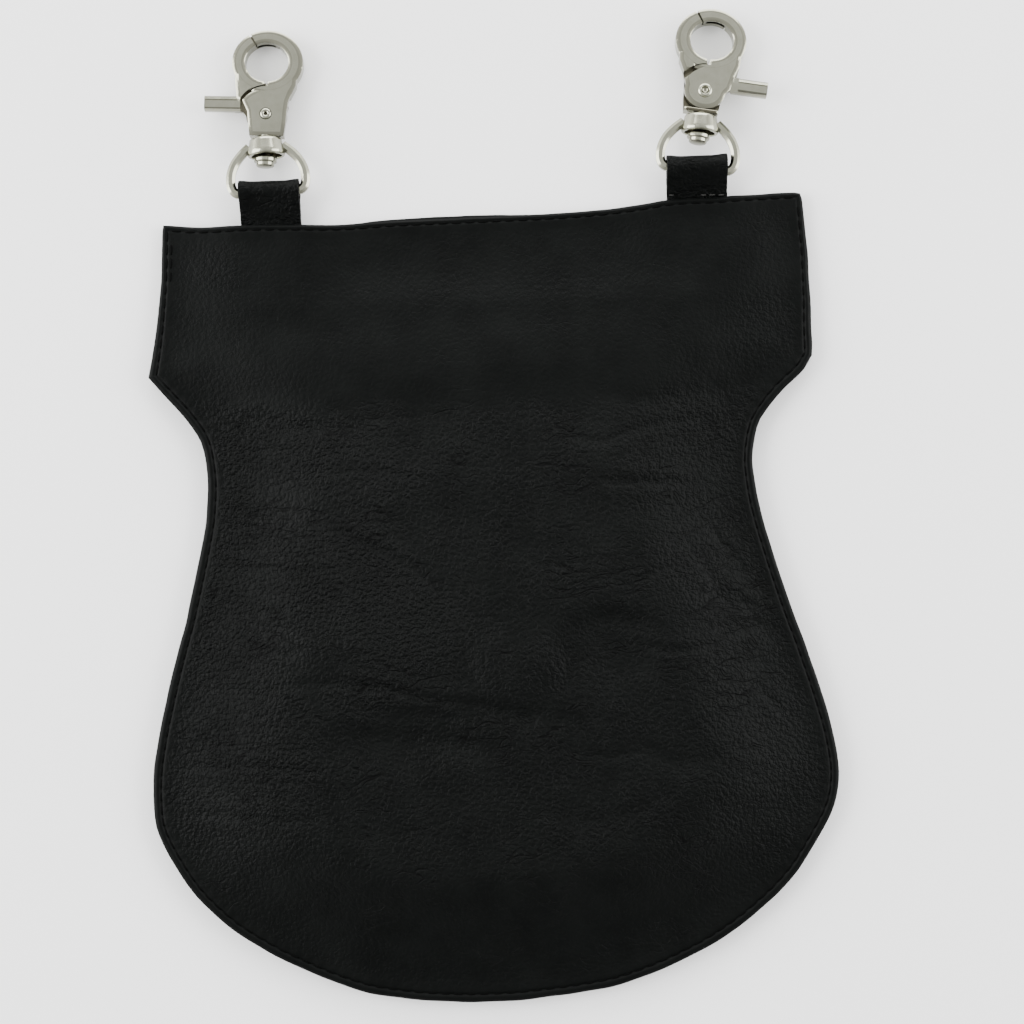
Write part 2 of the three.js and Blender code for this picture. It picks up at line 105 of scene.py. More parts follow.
class Nodes:
    """Shorthand for laying out one node tree."""

    def __init__(self, tree, dimensions="3D"):
        self.tree, self.dimensions = tree, dimensions

    def add(self, kind, settings=None, **inputs):
        node = self.tree.nodes.new("ShaderNode" + kind)
        for key, value in (settings or {}).items():
            setattr(node, key, value)
        for key, value in inputs.items():
            self.feed(node, int(key[1:]) if key[0] == "_" else key.replace("_", " "), value)
        return node

    def feed(self, node, key, value):
        socket = node.inputs[key]
        if isinstance(value, bpy.types.NodeSocket):
            self.tree.links.new(value, socket)
        else:
            socket.default_value = value

    def maths(self, operation, a, b=None, c=None, clamp=False):
        node = self.add("Math", {"operation": operation, "use_clamp": clamp})
        for i, value in enumerate((a, b, c)):
            if value is not None:
                self.feed(node, i, value)
        return node.outputs[0]

    def ramp(self, value, low, high, to_low=0.0, to_high=1.0):
        """The value's place between low and high, smoothed, set between to_low and to_high."""
        node = self.add("MapRange", {"interpolation_type": "SMOOTHSTEP"})
        for key, number in zip(("Value", "From Min", "From Max", "To Min", "To Max"),
                               (value, low, high, to_low, to_high)):
            self.feed(node, key, number)
        return node.outputs["Result"]

    def noise(self, vector, scale, detail=2.0, roughness=0.5, distortion=0.0):
        node = self.add("TexNoise", {"noise_dimensions": self.dimensions}, Scale=scale, Detail=detail,
                        Roughness=roughness, Distortion=distortion)
        self.feed(node, "Vector", vector)
        return node.outputs["Fac"]

    def shifted(self, vector, scale, detail, amount):
        """Coordinates pushed about by noise."""
        cloud = self.add("TexNoise", {"noise_dimensions": self.dimensions}, Scale=scale, Detail=detail)
        self.feed(cloud, "Vector", vector)
        push = self.add("VectorMath", {"operation": "SCALE"}, Scale=amount)
        self.feed(push, 0, cloud.outputs["Color"])
        total = self.add("VectorMath", {"operation": "ADD"})
        self.feed(total, 0, vector)
        self.feed(total, 1, push.outputs[0])
        return total.outputs[0]

    def stretched(self, vector, turn, scale):
        """Coordinates turned about Z by an angle in degrees, then scaled."""
        turned = self.add("VectorRotate", {"rotation_type": "Z_AXIS"}, Angle=radians(turn))
        self.feed(turned, "Vector", vector)
        node = self.add("VectorMath", {"operation": "MULTIPLY"})
        self.feed(node, 0, turned.outputs[0])
        self.feed(node, 1, scale)
        return node.outputs[0]

    def attribute(self, name):
        return self.add("Attribute", {"attribute_name": name}).outputs["Fac"]

    def between_tones(self, value, dark, light):
        """A colour ramp between two tones."""
        ramp = self.add("ValToRGB")
        self.feed(ramp, "Fac", value)
        ramp.color_ramp.elements[0].color = (*dark, 1)
        ramp.color_ramp.elements[1].color = (*light, 1)
        return ramp.outputs["Color"]

    def mixed(self, blend, factor, first, second):
        """A colour with a second one blended over it."""
        node = self.add("Mix", {"data_type": "RGBA", "blend_type": blend})
        a, b = (socket for socket in node.inputs if socket.name in ("A", "B") and socket.type == "RGBA")
        self.feed(node, "Factor", factor)
        self.tree.links.new(first, a)
        b.default_value = (*second, 1)
        return next(socket for socket in node.outputs if socket.type == "RGBA")

    def bumped(self, shader, height, strength, distance):
        bump = self.add("Bump", Strength=strength, Distance=distance)
        self.feed(bump, "Height", height)
        self.feed(shader, "Normal", bump.outputs["Normal"])


def new_group(name, dimensions, inputs, outputs):
    """An empty node group with named sockets, and its inside ends."""
    tree = bpy.data.node_groups.new(name, "ShaderNodeTree")
    for label, kind, value in inputs:
        socket = tree.interface.new_socket(name=label, in_out="INPUT", socket_type="NodeSocket" + kind)
        if value is not None:
            socket.default_value = value
    for label, kind in outputs:
        tree.interface.new_socket(name=label, in_out="OUTPUT", socket_type="NodeSocket" + kind)
    return Nodes(tree, dimensions), tree.nodes.new("NodeGroupInput"), tree.nodes.new("NodeGroupOutput")


def leather_grain_group():
    """Pebbled grain with fine creases. Heights come out in millimetres."""
    nodes, start, end = new_group(
        "leather grain", "2D",
        [("Vector", "Vector", None), ("Pebble Depth", "Float", 0.1), ("Crease Depth", "Float", 0.1)],
        [("Height", "Float"), ("Creases", "Float")])
    place = start.outputs["Vector"]

    def domes(vector, scale):
        cells = nodes.add("TexVoronoi", {"voronoi_dimensions": "2D", "feature": "F1"}, Scale=scale, Randomness=1.0)
        nodes.feed(cells, "Vector", vector)
        return nodes.ramp(cells.outputs["Distance"], 0.0, 0.75, 1.0, 0.0)

    def ridges(vector, turn, scale, width):
        """Thin wavy lines where a stretched noise crosses its middle."""
        wave = nodes.noise(nodes.stretched(vector, turn, scale), 1.0, 2.0, 0.55)
        return nodes.ramp(nodes.maths("ABSOLUTE", nodes.maths("SUBTRACT", wave, 0.5)), 0.0, width, 1.0, 0.0)

    uneven = nodes.shifted(place, 0.45, 2.0, 0.9)
    pebbles = nodes.maths("MULTIPLY_ADD", domes(uneven, 1.55), 0.5, domes(uneven, 0.72))
    grain = nodes.maths("MULTIPLY", nodes.maths("MULTIPLY_ADD", nodes.noise(place, 2.2, 1.0, 0.6), 0.4, pebbles),
                        start.outputs["Pebble Depth"])
    drifted = nodes.shifted(place, 0.1, 2.0, 6.0)
    creases = nodes.maths("MAXIMUM", ridges(drifted, -8, (0.04, 0.15, 0.1), 0.022),
                          nodes.maths("MULTIPLY", ridges(drifted, 28, (0.08, 0.2, 0.1), 0.022), 0.8))
    height = nodes.maths("SUBTRACT", grain, nodes.maths("MULTIPLY", creases, start.outputs["Crease Depth"]))
    nodes.feed(end, "Height", height)
    nodes.feed(end, "Creases", creases)


def leather_material(name, grained):
    """Black leather, with painted shade in its fine creases. A grained panel's own attributes say how coarse and how
    creased it is from place to place.
    """
    material, shader = new_material(name)
    nodes = Nodes(material.node_tree, "2D")
    millimetres = nodes.add("VectorMath", {"operation": "SCALE"}, Scale=1000.0)
    nodes.feed(millimetres, 0, nodes.add("TexCoord").outputs["Object"])
    place = millimetres.outputs[0]
    if grained:
        coarse, creased = nodes.attribute("coarse"), nodes.attribute("creased")
    else:
        coarse = nodes.ramp(nodes.noise(place, 0.08, 1.0), 0.3, 0.7, 0.12, 0.35)
        creased = nodes.ramp(nodes.noise(place, 0.11, 1.0), 0.35, 0.65, 0.1, 0.9)
    grain = nodes.add("Group", {"node_tree": bpy.data.node_groups["leather grain"]})
    nodes.feed(grain, "Vector", place)
    nodes.feed(grain, "Pebble Depth", nodes.maths("MULTIPLY_ADD", coarse, 0.58, 0.02))
    nodes.feed(grain, "Crease Depth", nodes.maths("MULTIPLY_ADD", creased, 0.22, 0.01))
    nodes.bumped(shader, grain.outputs["Height"], 1.0, 0.001)
    cloud = nodes.noise(place, 0.07, 3.0, 0.6)
    wear_and_side_shade = nodes.between_tones(cloud, (0.0012, 0.0014, 0.0013), (0.0028, 0.0033, 0.0030))
    # Painted shade: the base colour darkens towards a quarter in the fine creases, as far as they are creased, and the
    # leather is rougher there.
    deep = nodes.maths("MULTIPLY", grain.outputs["Creases"], creased)
    shaded = nodes.mixed("MULTIPLY", nodes.maths("MULTIPLY", deep, 0.9), wear_and_side_shade, (0.25, 0.25, 0.25))
    nodes.feed(shader, "Base Color", shaded)
    sheen = nodes.maths("MULTIPLY_ADD", cloud, 0.2, 0.38)
    nodes.feed(shader, "Roughness", nodes.maths("MULTIPLY_ADD", deep, 0.2, sheen))
    shader.inputs["Specular IOR Level"].default_value = 0.046
    return material


def nickel_material():
    """Plated metal, with painted shade: browner and darker in its recesses, on its bevels and on its sides."""
    material, shader = new_material("plated nickel")
    nodes = Nodes(material.node_tree)
    place = nodes.add("TexCoord").outputs["Object"]
    shader.inputs["Metallic"].default_value = 1.0
    tone = nodes.between_tones(nodes.noise(place, 420.0, 3.0), (0.32, 0.322, 0.25), (0.40, 0.402, 0.325))
    # Painted shade: each face's colour is mixed towards a dark brown, more where it sees little sky and on bevels and
    # sides.
    nodes.feed(shader, "Base Color", nodes.mixed("MIX", nodes.attribute("painted_shade"), tone, (0.13, 0.122, 0.088)))
    nodes.feed(shader, "Roughness", nodes.maths("MULTIPLY_ADD", nodes.noise(place, 900.0, 3.0), 0.12, 0.13))
    nodes.bumped(shader, nodes.noise(place, 260.0, 2.0), 0.25, 0.0001)
    return material


def thread_material(name, colour):
    material, shader = new_material(name)
    nodes = Nodes(material.node_tree)
    place = nodes.add("TexCoord").outputs["Object"]
    dark, light = ([c * share for c in colour] for share in (0.6, 1.4))
    nodes.feed(shader, "Base Color", nodes.between_tones(nodes.noise(place, 3000.0, 2.0), dark, light))
    shader.inputs["Roughness"].default_value = 0.6
    shader.inputs["Specular IOR Level"].default_value = 0.02
    nodes.bumped(shader, nodes.noise(place, 5000.0, 1.0), 0.6, 0.0001)
    return material


def light_studio():
    """Soft light: a grey ceiling, brighter to the left, right and far sides, and a bright horizon."""
    world = bpy.data.worlds.new("studio")
    world.use_nodes = True
    nodes = Nodes(world.node_tree)
    way = nodes.add("SeparateXYZ", Vector=nodes.add("TexCoord").outputs["Generated"])
    x, y, z = way.outputs
    leftward = nodes.maths("MAXIMUM", nodes.maths("MULTIPLY", x, -1.0), 0.0)
    glow = nodes.maths("MULTIPLY_ADD", leftward, LEFT_GLOW, CEILING)
    glow = nodes.maths("MULTIPLY_ADD", nodes.maths("MAXIMUM", x, 0.0), RIGHT_GLOW, glow)
    glow = nodes.maths("MAXIMUM", nodes.maths("MULTIPLY_ADD", y, FAR_GLOW, glow), DIMMEST)
    glow = nodes.maths("ADD", glow, nodes.ramp(z, 0.05, 0.45, HORIZON, 0.0))
    background = world.node_tree.nodes["Background"]
    background.inputs["Color"].default_value = (1, 1, 1, 1)
    nodes.feed(background, "Strength", glow)
    bpy.context.scene.world = world
    for name, place, size, power in SOFT_BOXES:
        soft_box(name, place, size, power)


light_studio()
leather_grain_group()
PANEL_LEATHER = leather_material("panel leather", True)
TAB_LEATHER = leather_material("tab leather", False)
NICKEL = nickel_material()
BLACK_THREAD = thread_material("black thread", (0.0014, 0.0015, 0.0014))
PALE_THREAD = thread_material("pale thread", (0.036, 0.036, 0.034))

# ---------------------------------------------------------------- the bag's measures

LEATHER = 1.4  # thickness
GAP = 0.3  # between the layers
STITCH_INSET, BAND_INSET = 2.4, 1.5  # from the edge to the seam, on the pouch and on the upper band
BAND_START, BAND_FULL = 62, 108  # heights between which the seam draws nearer to the edge
STITCH_PITCH, STITCH_LENGTH = 4.0, 3.1
FLAP_SEAM_END, FRONT_SEAM_START = 71.5, 67  # the flap is sewn down above, the front panel below
SECOND_ROW, SECOND_ROW_INSET = (-88, 99, 110), 1.3  # left of this x, between these heights
OUTLINE_STEP, CORNER_CLEAR = 2.5, 5.0
FINE_CELL, MIDDLE_CELL, COARSE_CELL = 1.9, 2.2, 3.5
RIM_RADIUS = 0.5

# Runs of the outline between sharp corners, counter-clockwise: x, y.
TOP_RUN = [
    (98.0, 119.2), (84, 118.7), (72, 118.1), (60, 118.0), (48, 116.7), (36, 115.8), (24, 115.3),
    (0, 115.0), (-24, 114.8), (-42, 114.1), (-66, 114.7), (-84, 114.7), (-94.1, 116.0),
]
LEFT_BAND = [(-94.1, 116.0), (-95.0, 100), (-96.1, 90), (-97.7, 80), (-99.7, 70)]
RIGHT_BAND = [(99.5, 70), (99.3, 80), (99.2, 90), (99.0, 100), (98.0, 119.2)]
FLANKS = [  # y, left x, right x
    (70, -99.7, 99.5), (66, -96.4, 96.9), (60, -91.1, 90.2), (55, -87.2, 85.7), (50, -84.5, 82.5),
    (40, -83.0, 80.4), (30, -83.4, 81.2), (20, -85.2, 83.2), (0, -90.1, 88.8), (-20, -95.9, 95.3),
    (-40, -100.8, 101.0), (-50, -102.3, 102.7), (-57, -102.5, 103.0), (-65, -101.9, 101.3),
    (-75, -97.5, 95.8), (-85, -91.2, 88.9), (-95, -81.4, 78.6), (-105, -66.3, 63.9),
    (-115, -44.5, 40.7), (-118.3, -30.5, 24.4),
]
BOTTOM = (-5, -120.3)
MOUTH_Y = 84
TONGUE = [(60, 90.5), (46, 78), (24, 70), (-8, 66.5), (-32, 53), (-46, 29)]  # y, half width
TONGUE_END = (0, -51)

SEAM_BED = [(120, 0.6), (111, 0.6), (86, 1.9), (60, 2.4), (-121, 2.4)]
BACK_RISE = [
    (120, 0), (104, 1.9), (88, 3.9), (66, 5.8), (30, 8.5), (0, 9.9), (-30, 9.7), (-56, 9.2), (-80, 9.2),
    (-104, 7.6), (-121, 7.0),
]
HEM, SHOULDER_WIDTH = 3.5, 40
TAB_BUMP = 2.2  # the tabs' inner ends are skived, so the back panel rises less than their full thickness
DENTS = [  # x, y, radius x, radius y, height
    (7, -20, 15, 13, 1.5), (35, -16, 17, 13, -1.2), (-26, -41, 24, 10, -1.5), (-40, -14, 16, 14, 0.9),
    (-60, 30, 20, 26, 0.7), (72, -4, 16, 26, 0.8),
]
SNAP = (7, -20)
FLAP_RISE = (102, 113, 0.6)

CLIPS = {
    "left": {"bar": (-61.4, 124.3, 6.55), "edge": 114.6, "eye": (-2.5, 4.65), "hook": (2.9, 4.65),
             "flipped": False},
    "right": {"bar": (66.5, 126.6, 7.85), "edge": 118.3, "eye": (6.6, 4.5), "hook": (10.1, 7),
              "flipped": True},
}
TAB_WIDTH = 18.4
LOOP_RADIUS, LOOP_PLAY = 1.95, 0.9  # inside the tab's fold, and the room that it leaves beyond the bar
LOOP_REACH = 4.0  # the fold lies this near to the bar's axis
# The ragged edges, the fold's ends and its leather leave the D-ring room to swing.
TAB_EDGE_WORN, TAB_MOUTH_FLARE, TAB_LEATHER_THICKNESS = 0.16, 0.35, 1.1


def smooth(t, low, high):
    t = np.clip((np.asarray(t, float) - low) / (high - low), 0, 1)
    return t * t * (3 - 2 * t)


def look_up(table, y):
    """Values at heights y in rows of height, value that run downwards."""
    y = np.asarray(y, float)
    result = np.full(y.shape, float(table[0][1]))
    for (high, above), (low, below) in zip(table, table[1:]):
        part = below + (above - below) * smooth(y, low, high)
        result = np.where(y <= high, part, result)
    return result


def between(p, q, t, start, end):
    return p + (q - p) * (t - start) / (end - start)


def smooth_run(points, step, clear=0.0):
    """Even points on a smooth curve through the given ones, without its last point.
    After the first point and before the last one, a stretch of the length clear has none."""
    rows = [np.array(p, float) for p in points]
    rows = [2 * rows[0] - rows[1], *rows, 2 * rows[-1] - rows[-2]]
    fine = []
    for a, b, c, d in zip(rows, rows[1:], rows[2:], rows[3:]):
        t0, t1, t2, t3 = np.cumsum([0] + [np.linalg.norm(q - p) ** 0.5 for p, q in ((a, b), (b, c), (c, d))])
        for t in np.linspace(t1, t2, 24, endpoint=False):
            ab, bc, cd = between(a, b, t, t0, t1), between(b, c, t, t1, t2), between(c, d, t, t2, t3)
            abc, bcd = between(ab, bc, t, t0, t2), between(bc, cd, t, t1, t3)
            fine.append(between(abc, bcd, t, t1, t2))
    fine = np.array([*fine, rows[-2]])
    along = np.concatenate([[0], np.cumsum(np.linalg.norm(np.diff(fine, axis=0), axis=1))])
    first, last = clear, along[-1] - clear
    count = max(1, round((last - first) / step))
    wanted = np.linspace(first, last, count + 1)
    wanted = np.concatenate([[0], wanted]) if clear else wanted[:-1]
    return [(float(np.interp(w, along, fine[:, 0])), float(np.interp(w, along, fine[:, 1]))) for w in wanted]


def bag_outline(mouth=None):
    """The bag's outline counter-clockwise, cut off at its mouth for the front panel."""
    left = [(x, y) for y, x, _ in FLANKS] + [BOTTOM]
    right = [BOTTOM] + [(x, y) for y, _, x in FLANKS[::-1]]
    top, left_band, right_band = TOP_RUN, LEFT_BAND, RIGHT_BAND
    if mouth:
        left_band = [(-97.1, mouth), LEFT_BAND[-1]]
        right_band = [RIGHT_BAND[0], (99.3, mouth)]
        top = [right_band[1], left_band[0]]
    runs = (top, left_band, left[:-1] + right, right_band)
    return [point for run in runs for point in smooth_run(run, OUTLINE_STEP, CORNER_CLEAR)]


def flap_outline():
    """The flap's outline: the bag's upper band, a little prouder, and the tongue."""
    top = [(x, y + 0.7 * float(smooth(x, -30, -22) * (1 - smooth(x, 16, 24)))) for x, y in TOP_RUN]
    left = [(-99.7, 70)] + [(-x, y) for y, x in TONGUE]
    right = [(x, y) for y, x in TONGUE[::-1]] + [(100.1, 70)]
    right_band = [(x + 0.6, y) for x, y in RIGHT_BAND[:-1]] + [RIGHT_BAND[-1]]
    runs = (top, LEFT_BAND, left + [TONGUE_END] + right, right_band)
    return [point for run in runs for point in smooth_run(run, OUTLINE_STEP, CORNER_CLEAR)]


def depth_inside(outline, x, y):
    """Distance from points to an outline, positive inside, and the place along it of the nearest point."""
    x, y = np.asarray(x, float), np.asarray(y, float)
    a = np.array(outline, float)
    b = np.roll(a, -1, axis=0)
    sides = b - a
    lengths = np.linalg.norm(sides, axis=1)
    starts = np.concatenate([[0], np.cumsum(lengths)[:-1]])
    nearest, along = np.full(x.shape, 1e9), np.zeros(x.shape)
    inside = np.zeros(x.shape, bool)
    for (ax, ay), (bx, by), (dx, dy), length, start in zip(a, b, sides, lengths, starts):
        share = np.clip(((x - ax) * dx + (y - ay) * dy) / length ** 2, 0, 1)
        distance = np.hypot(x - ax - share * dx, y - ay - share * dy)
        closer = distance < nearest
        nearest = np.where(closer, distance, nearest)
        along = np.where(closer, start + share * length, along)
        if ay != by:
            inside ^= ((ay > y) != (by > y)) & (x < ax + (y - ay) / dy * dx)
    return np.where(inside, nearest, -nearest), along


BAG = bag_outline()
FRONT = bag_outline(mouth=MOUTH_Y)
FLAP = flap_outline()


def patch(x, y, row):
    """A soft-edged oval from a row of middle x, y and radius x, y: 1 inside, 0 outside."""
    cx, cy, rx, ry = row[:4]
    return 1 - smooth(np.hypot((x - cx) / rx, (y - cy) / ry), 0.15, 1.25)


def over_tabs(x, y):
    """1 above the tabs' inner ends, 0 away from them."""
    nearest = np.minimum(*(np.abs(x - clip["bar"][0]) for clip in CLIPS.values()))
    return (1 - smooth(nearest, 8, 30)) * smooth(y, 80, 107)


def flap_bed(y):
    """Underside of the flap, without its rim."""
    return FLAP_RISE[2] * smooth(y, *FLAP_RISE[:2])


def front_bed(x, y):
    """Underside of the front panel."""
    beyond = -depth_inside(FLAP, x, y)[0]
    bed = (LEATHER + GAP) * (1 - smooth(beyond, 6, 28))
    snap = 2.8 * (1 - smooth(np.hypot(x - SNAP[0], y - SNAP[1]), 15, 34))
    near_edge = 1 - smooth(depth_inside(BAG, x, y)[0], 0, 13)
    return (bed + snap) * (1 - near_edge) + look_up(SEAM_BED, y) * near_edge


def back_bed(x, y, depth):
    """Underside of the back panel, with points' depths inside the bag's outline."""
    deep = smooth(depth, 10, 20)
    climb = smooth(depth * (1 - deep) + softened_depth(x, y) * deep, HEM, SHOULDER_WIDTH)
    dents = sum(row[4] * patch(x, y, row) for row in DENTS)
    seam = look_up(SEAM_BED, y) + LEATHER + GAP + TAB_BUMP * over_tabs(x, y)
    return seam + (look_up(BACK_RISE, y) + dents) * climb


def noise_at(x, y, size, seed=0.0):
    """Smooth noise over points, about -1 to 1, for forms of a size."""
    return np.array([noise.noise((px / size, py / size, seed)) for px, py in zip(x, y)])


# Where the back panel's grain is coarse: x, y, radius x, radius y, amount.
PEBBLED = [
    (-80, 8, 26, 58, 0.8), (-42, 8, 26, 28, 1.0), (-60, 47, 46, 15, 0.65), (-72, -44, 30, 34, 0.7),
    (-28, -6, 28, 18, 0.95), (-34, 38, 30, 18, 0.5), (-38, -26, 18, 12, 0.6), (70, 50, 20, 16, 0.34),
    (48, 46, 24, 14, 0.28), (80, 8, 22, 40, 0.22),
    (62, -28, 24, 26, 0.2), (20, 8, 26, 12, 0.15), (4, -14, 10, 10, 0.25), (-6, -66, 34, 10, 0.22),
    (82, -52, 18, 24, 0.12), (86, 78, 16, 14, 0.12), (-74, 102, 14, 8, 0.1), (-20, -97, 30, 8, 0.1),
]


def coarseness(x, y):
    """How coarse the grain is, 0 to about 1: fine in the upper band and towards the bottom."""
    shift = 5 * noise_at(x, y, 22, 4.0) + 3 * noise_at(x, y, 7, 6.0)
    body = smooth(61 - y + shift + 7 * (np.abs(x) / 95) ** 4, 0, 8)
    amount = 0.22 * body
    for cx, cy, rx, ry, coarse in PEBBLED:
        inside = body if cy < 60 else 1
        share = 1 - smooth(np.hypot((x - cx) / rx, (y - cy) / ry), 0.3, 1.15)
        amount = np.maximum(amount, coarse * inside * share)
    lower = smooth(-y, 68, 86)
    uneven = 0.85 + 0.5 * noise_at(x, y, 13, 2.0) + 0.35 * noise_at(x, y, 4.5, 7.0)
    return 0.07 + amount * (1 - 0.75 * lower) * np.clip(uneven, 0.25, 2)


def creasing(x, y):
    """How strongly the fine creases show, 0 to 1: how deep they are and how much painted shade darkens them."""
    body = smooth(66 - y, 0, 14)
    lower = smooth(-y, 78, 96)
    patchy = smooth(noise_at(x, y, 16, 11.0) + 0.4 * noise_at(x, y, 6, 13.0), 0.0, 0.4)
    right = 0.5 * smooth(x, 40, 75) * smooth(-np.abs(y - 5), -45, -10)
    return (0.12 + 0.88 * body * (1 - 0.7 * lower)) * np.clip(0.15 + 0.85 * patchy + right, 0, 1)


# Folds and creases of the back panel: points x, y; then width and depth.
FOLDS = [
    (((31, 35), (40, 34), (52, 33.5), (64, 33)), 1.6, 0.55),
    (((-98, -61.5), (-84, -61), (-68, -62.5), (-50, -63)), 1.5, 0.35),
    (((-48, -28), (-34, -32), (-18, -33), (0, -33), (20, -36), (34, -37)), 3.0, 0.45),
    (((-44, -36), (-30, -40), (-14, -41), (2, -46)), 3.0, 0.35),
    (((60, 2), (74, -4), (88, -12)), 2.4, 0.5),
    (((62, -12), (76, -10), (90, -14)), 2.0, 0.4),
    (((70, 10), (80, 2), (89, -6)), 2.0, 0.35),
    (((58, 16), (66, 6), (70, -8)), 2.4, 0.35),
    (((-8, -14), (-6, -22), (-1, -30)), 3.4, 0.5),
    (((20, -12), (23, -20), (20, -28)), 3.4, 0.5),
    (((22, -10), (36, -6), (52, -10)), 3.0, 0.4),
    (((-80, 50), (-66, 56), (-52, 53), (-40, 58)), 2.6, 0.35),
    (((30, 62), (48, 58), (66, 60), (80, 62)), 2.6, 0.3),
    (((-86, -20), (-74, -26), (-62, -24)), 2.0, 0.3),
    (((40, -44), (58, -50), (72, -46)), 3.0, 0.35),
    (((10, -62), (30, -66), (50, -60)), 3.2, 0.3),
    (((-60, -80), (-40, -88), (-16, -90)), 4.0, 0.35),
    (((-82.5, 11.5), (-71.5, 12.5), (-59.5, 11), (-46.5, 11.5)), 1.2, 0.42),
    (((-64, -24), (-51.5, -22.5), (-37.5, -23.5), (-16.5, -28.5), (-1, -31), (13.5, -34)), 1.6, 0.5),
    (((-62.5, -25.5), (-58.5, -28), (-54, -31.5)), 1.2, 0.4),
    (((-99, -46), (-85.5, -47), (-72, -46), (-59, -47.5), (-44.5, -49.5)), 1.2, 0.4),
    (((-78, 56), (-68.5, 51.5), (-55, 53), (-42.5, 53), (-28, 55), (-16.5, 55)), 1.6, 0.35),
    (((-49, 27.5), (-42.5, 22), (-35, 18.5), (-23.5, 12), (-17.5, 6.5), (-12.5, 0.5)), 1.3, 0.42),
    (((-80, 35), (-76, 30.5), (-67, 27.5)), 1.2, 0.4),
    (((-56, 42), (-45, 40), (-34.5, 40), (-14, 36)), 1.2, 0.28),
    (((40, 3), (50, 7), (60.5, 12.5)), 1.2, 0.38),
    (((45, -15), (59.5, -16.5), (71, -12.5), (84, -8.5)), 1.3, 0.5),
    (((71.5, 0.5), (80, -4.5), (89, -8)), 1.2, 0.42),
    (((73, 6.5), (80.5, 5.5), (86, 2.5)), 1.1, 0.4),
    (((76, -26), (82, -31), (87, -37.5)), 1.2, 0.35),
    (((23, 49.5), (34.5, 46), (47.5, 50), (67.5, 52.5)), 1.4, 0.35),
    (((66.5, 19.5), (71.5, 13), (77.5, 6)), 1.2, 0.38),
    (((9.5, 11.5), (21.5, 9.5), (33.5, 12)), 1.2, 0.22),
    (((-72, -9.5), (-63, -13.5), (-54, -12.5)), 1.2, 0.35),
    (((-76, 2.5), (-68, -1), (-56.5, 0)), 1.1, 0.35),
    (((20, -44), (34.5, -47), (50, -44.5)), 1.3, 0.28),
]
FOLD_RUNS = [(np.array(smooth_run(points, 2.0) + [points[-1]]), width, depth) for points, width, depth in FOLDS]


def fold_height(x, y):
    """What the folds take away at points: a soft valley with a low lip on each side."""
    total = np.zeros(x.shape)
    for run, width, depth in FOLD_RUNS:
        (low_x, low_y), (high_x, high_y) = run.min(axis=0) - 5 * width, run.max(axis=0) + 5 * width
        near = np.flatnonzero((x > low_x) & (x < high_x) & (y > low_y) & (y < high_y))
        total[near] += one_fold(x[near], y[near], run, width, depth)
    return total


def one_fold(x, y, run, width, depth):
    """One fold's height along its run of points, which wavers a little and fades at both ends."""
    wobble = 0.25 * width
    nearest, share = np.full(x.shape, 1e9), np.zeros(x.shape)
    for i, (p, q) in enumerate(zip(run, run[1:])):
        dx, dy = q - p
        t = np.clip(((x - p[0]) * dx + (y - p[1]) * dy) / (dx * dx + dy * dy), 0, 1)
        bend = wobble * sin(i * 1.7)
        distance = np.hypot(x - p[0] - t * dx, y - p[1] - t * dy - bend)
        closer = distance < nearest
        nearest = np.where(closer, distance, nearest)
        share = np.where(closer, (i + t) / (len(run) - 1), share)
    fade = np.sin(pi * np.clip(share, 0.02, 0.98)) ** 0.5
    valley = np.exp(-(nearest / width) ** 2 * 2.2)
    lip = np.exp(-((nearest - 1.9 * width) / width) ** 2)
    return depth * fade * (0.35 * lip - valley)


def seam_inset(y):
    """How far the seam lies from the edge at heights y."""
    return STITCH_INSET + (BAND_INSET - STITCH_INSET) * smooth(y, BAND_START, BAND_FULL)


def rim_drop(depth):
    """How far a rounded rim has dropped, 1 at the edge and 0 inside."""
    return np.exp(-(depth / RIM_RADIUS) ** 1.5)


def seam_relief(y, depth, along):
    """Height of the surface near a sewn edge: rounded rim, puffed strip, groove with stitch puckers."""
    inset = seam_inset(y)
    rim = -0.5 * rim_drop(depth)
    pucker = np.cos(2 * pi * along / STITCH_PITCH)
    tight = 1 - 0.45 * smooth(y, BAND_START, BAND_FULL)
    groove = -tight * (0.34 - 0.1 * pucker) * np.exp(-((depth - inset) / 0.45) ** 2)
    strip = 0.1 * np.exp(-((depth - 0.52 * inset) / (0.3 * inset)) ** 2) * (1 + 0.3 * pucker)
    inner = tight ** 2 * (0.1 + 0.06 * pucker) * np.exp(-((depth - inset - 1.6) / 1.1) ** 2)
    return rim + groove + strip + inner


SOFT_CORNERS = [  # x, y, how far the corner is worn in
    (98.0, 119.2, -0.42, -0.42), (99.5, 70, -0.4, 0.12), (-94.1, 116.0, 0.2, -0.2),
]


def worn_corners(x, y):
    """How far points near the corners move inwards."""
    near = [np.exp(-(np.hypot(x - cx, y - cy) / 1.3) ** 2) for cx, cy, _, _ in SOFT_CORNERS]
    return [sum(n * row[k] for n, row in zip(near, SOFT_CORNERS)) for k in (2, 3)]


EDGE_RINGS = (0.15, 0.2, 0.35, 0.5, 0.5, 0.4, 0.3, 0.3, 0.4, 0.6, 0.8)  # widths of the mesh's rings from the edge in


def slice_grid(bm, faces, low, high, cell):
    """Cut faces into a grid of square cells."""
    geom = list(dict.fromkeys(e for f in faces for e in (f, *f.edges, *f.verts)))
    for axis in (0, 1):
        count = ceil((high[axis] - low[axis]) / cell)
        for i in range(1, count):
            point, normal = Vector((0, 0, 0)), Vector((0, 0, 0))
            point[axis] = low[axis] + (high[axis] - low[axis]) * i / count
            normal[axis] = 1
            geom = bmesh.ops.bisect_plane(bm, geom=geom, plane_co=point, plane_no=normal, dist=1e-3)["geom"]
    return [g for g in geom if isinstance(g, bmesh.types.BMFace)]


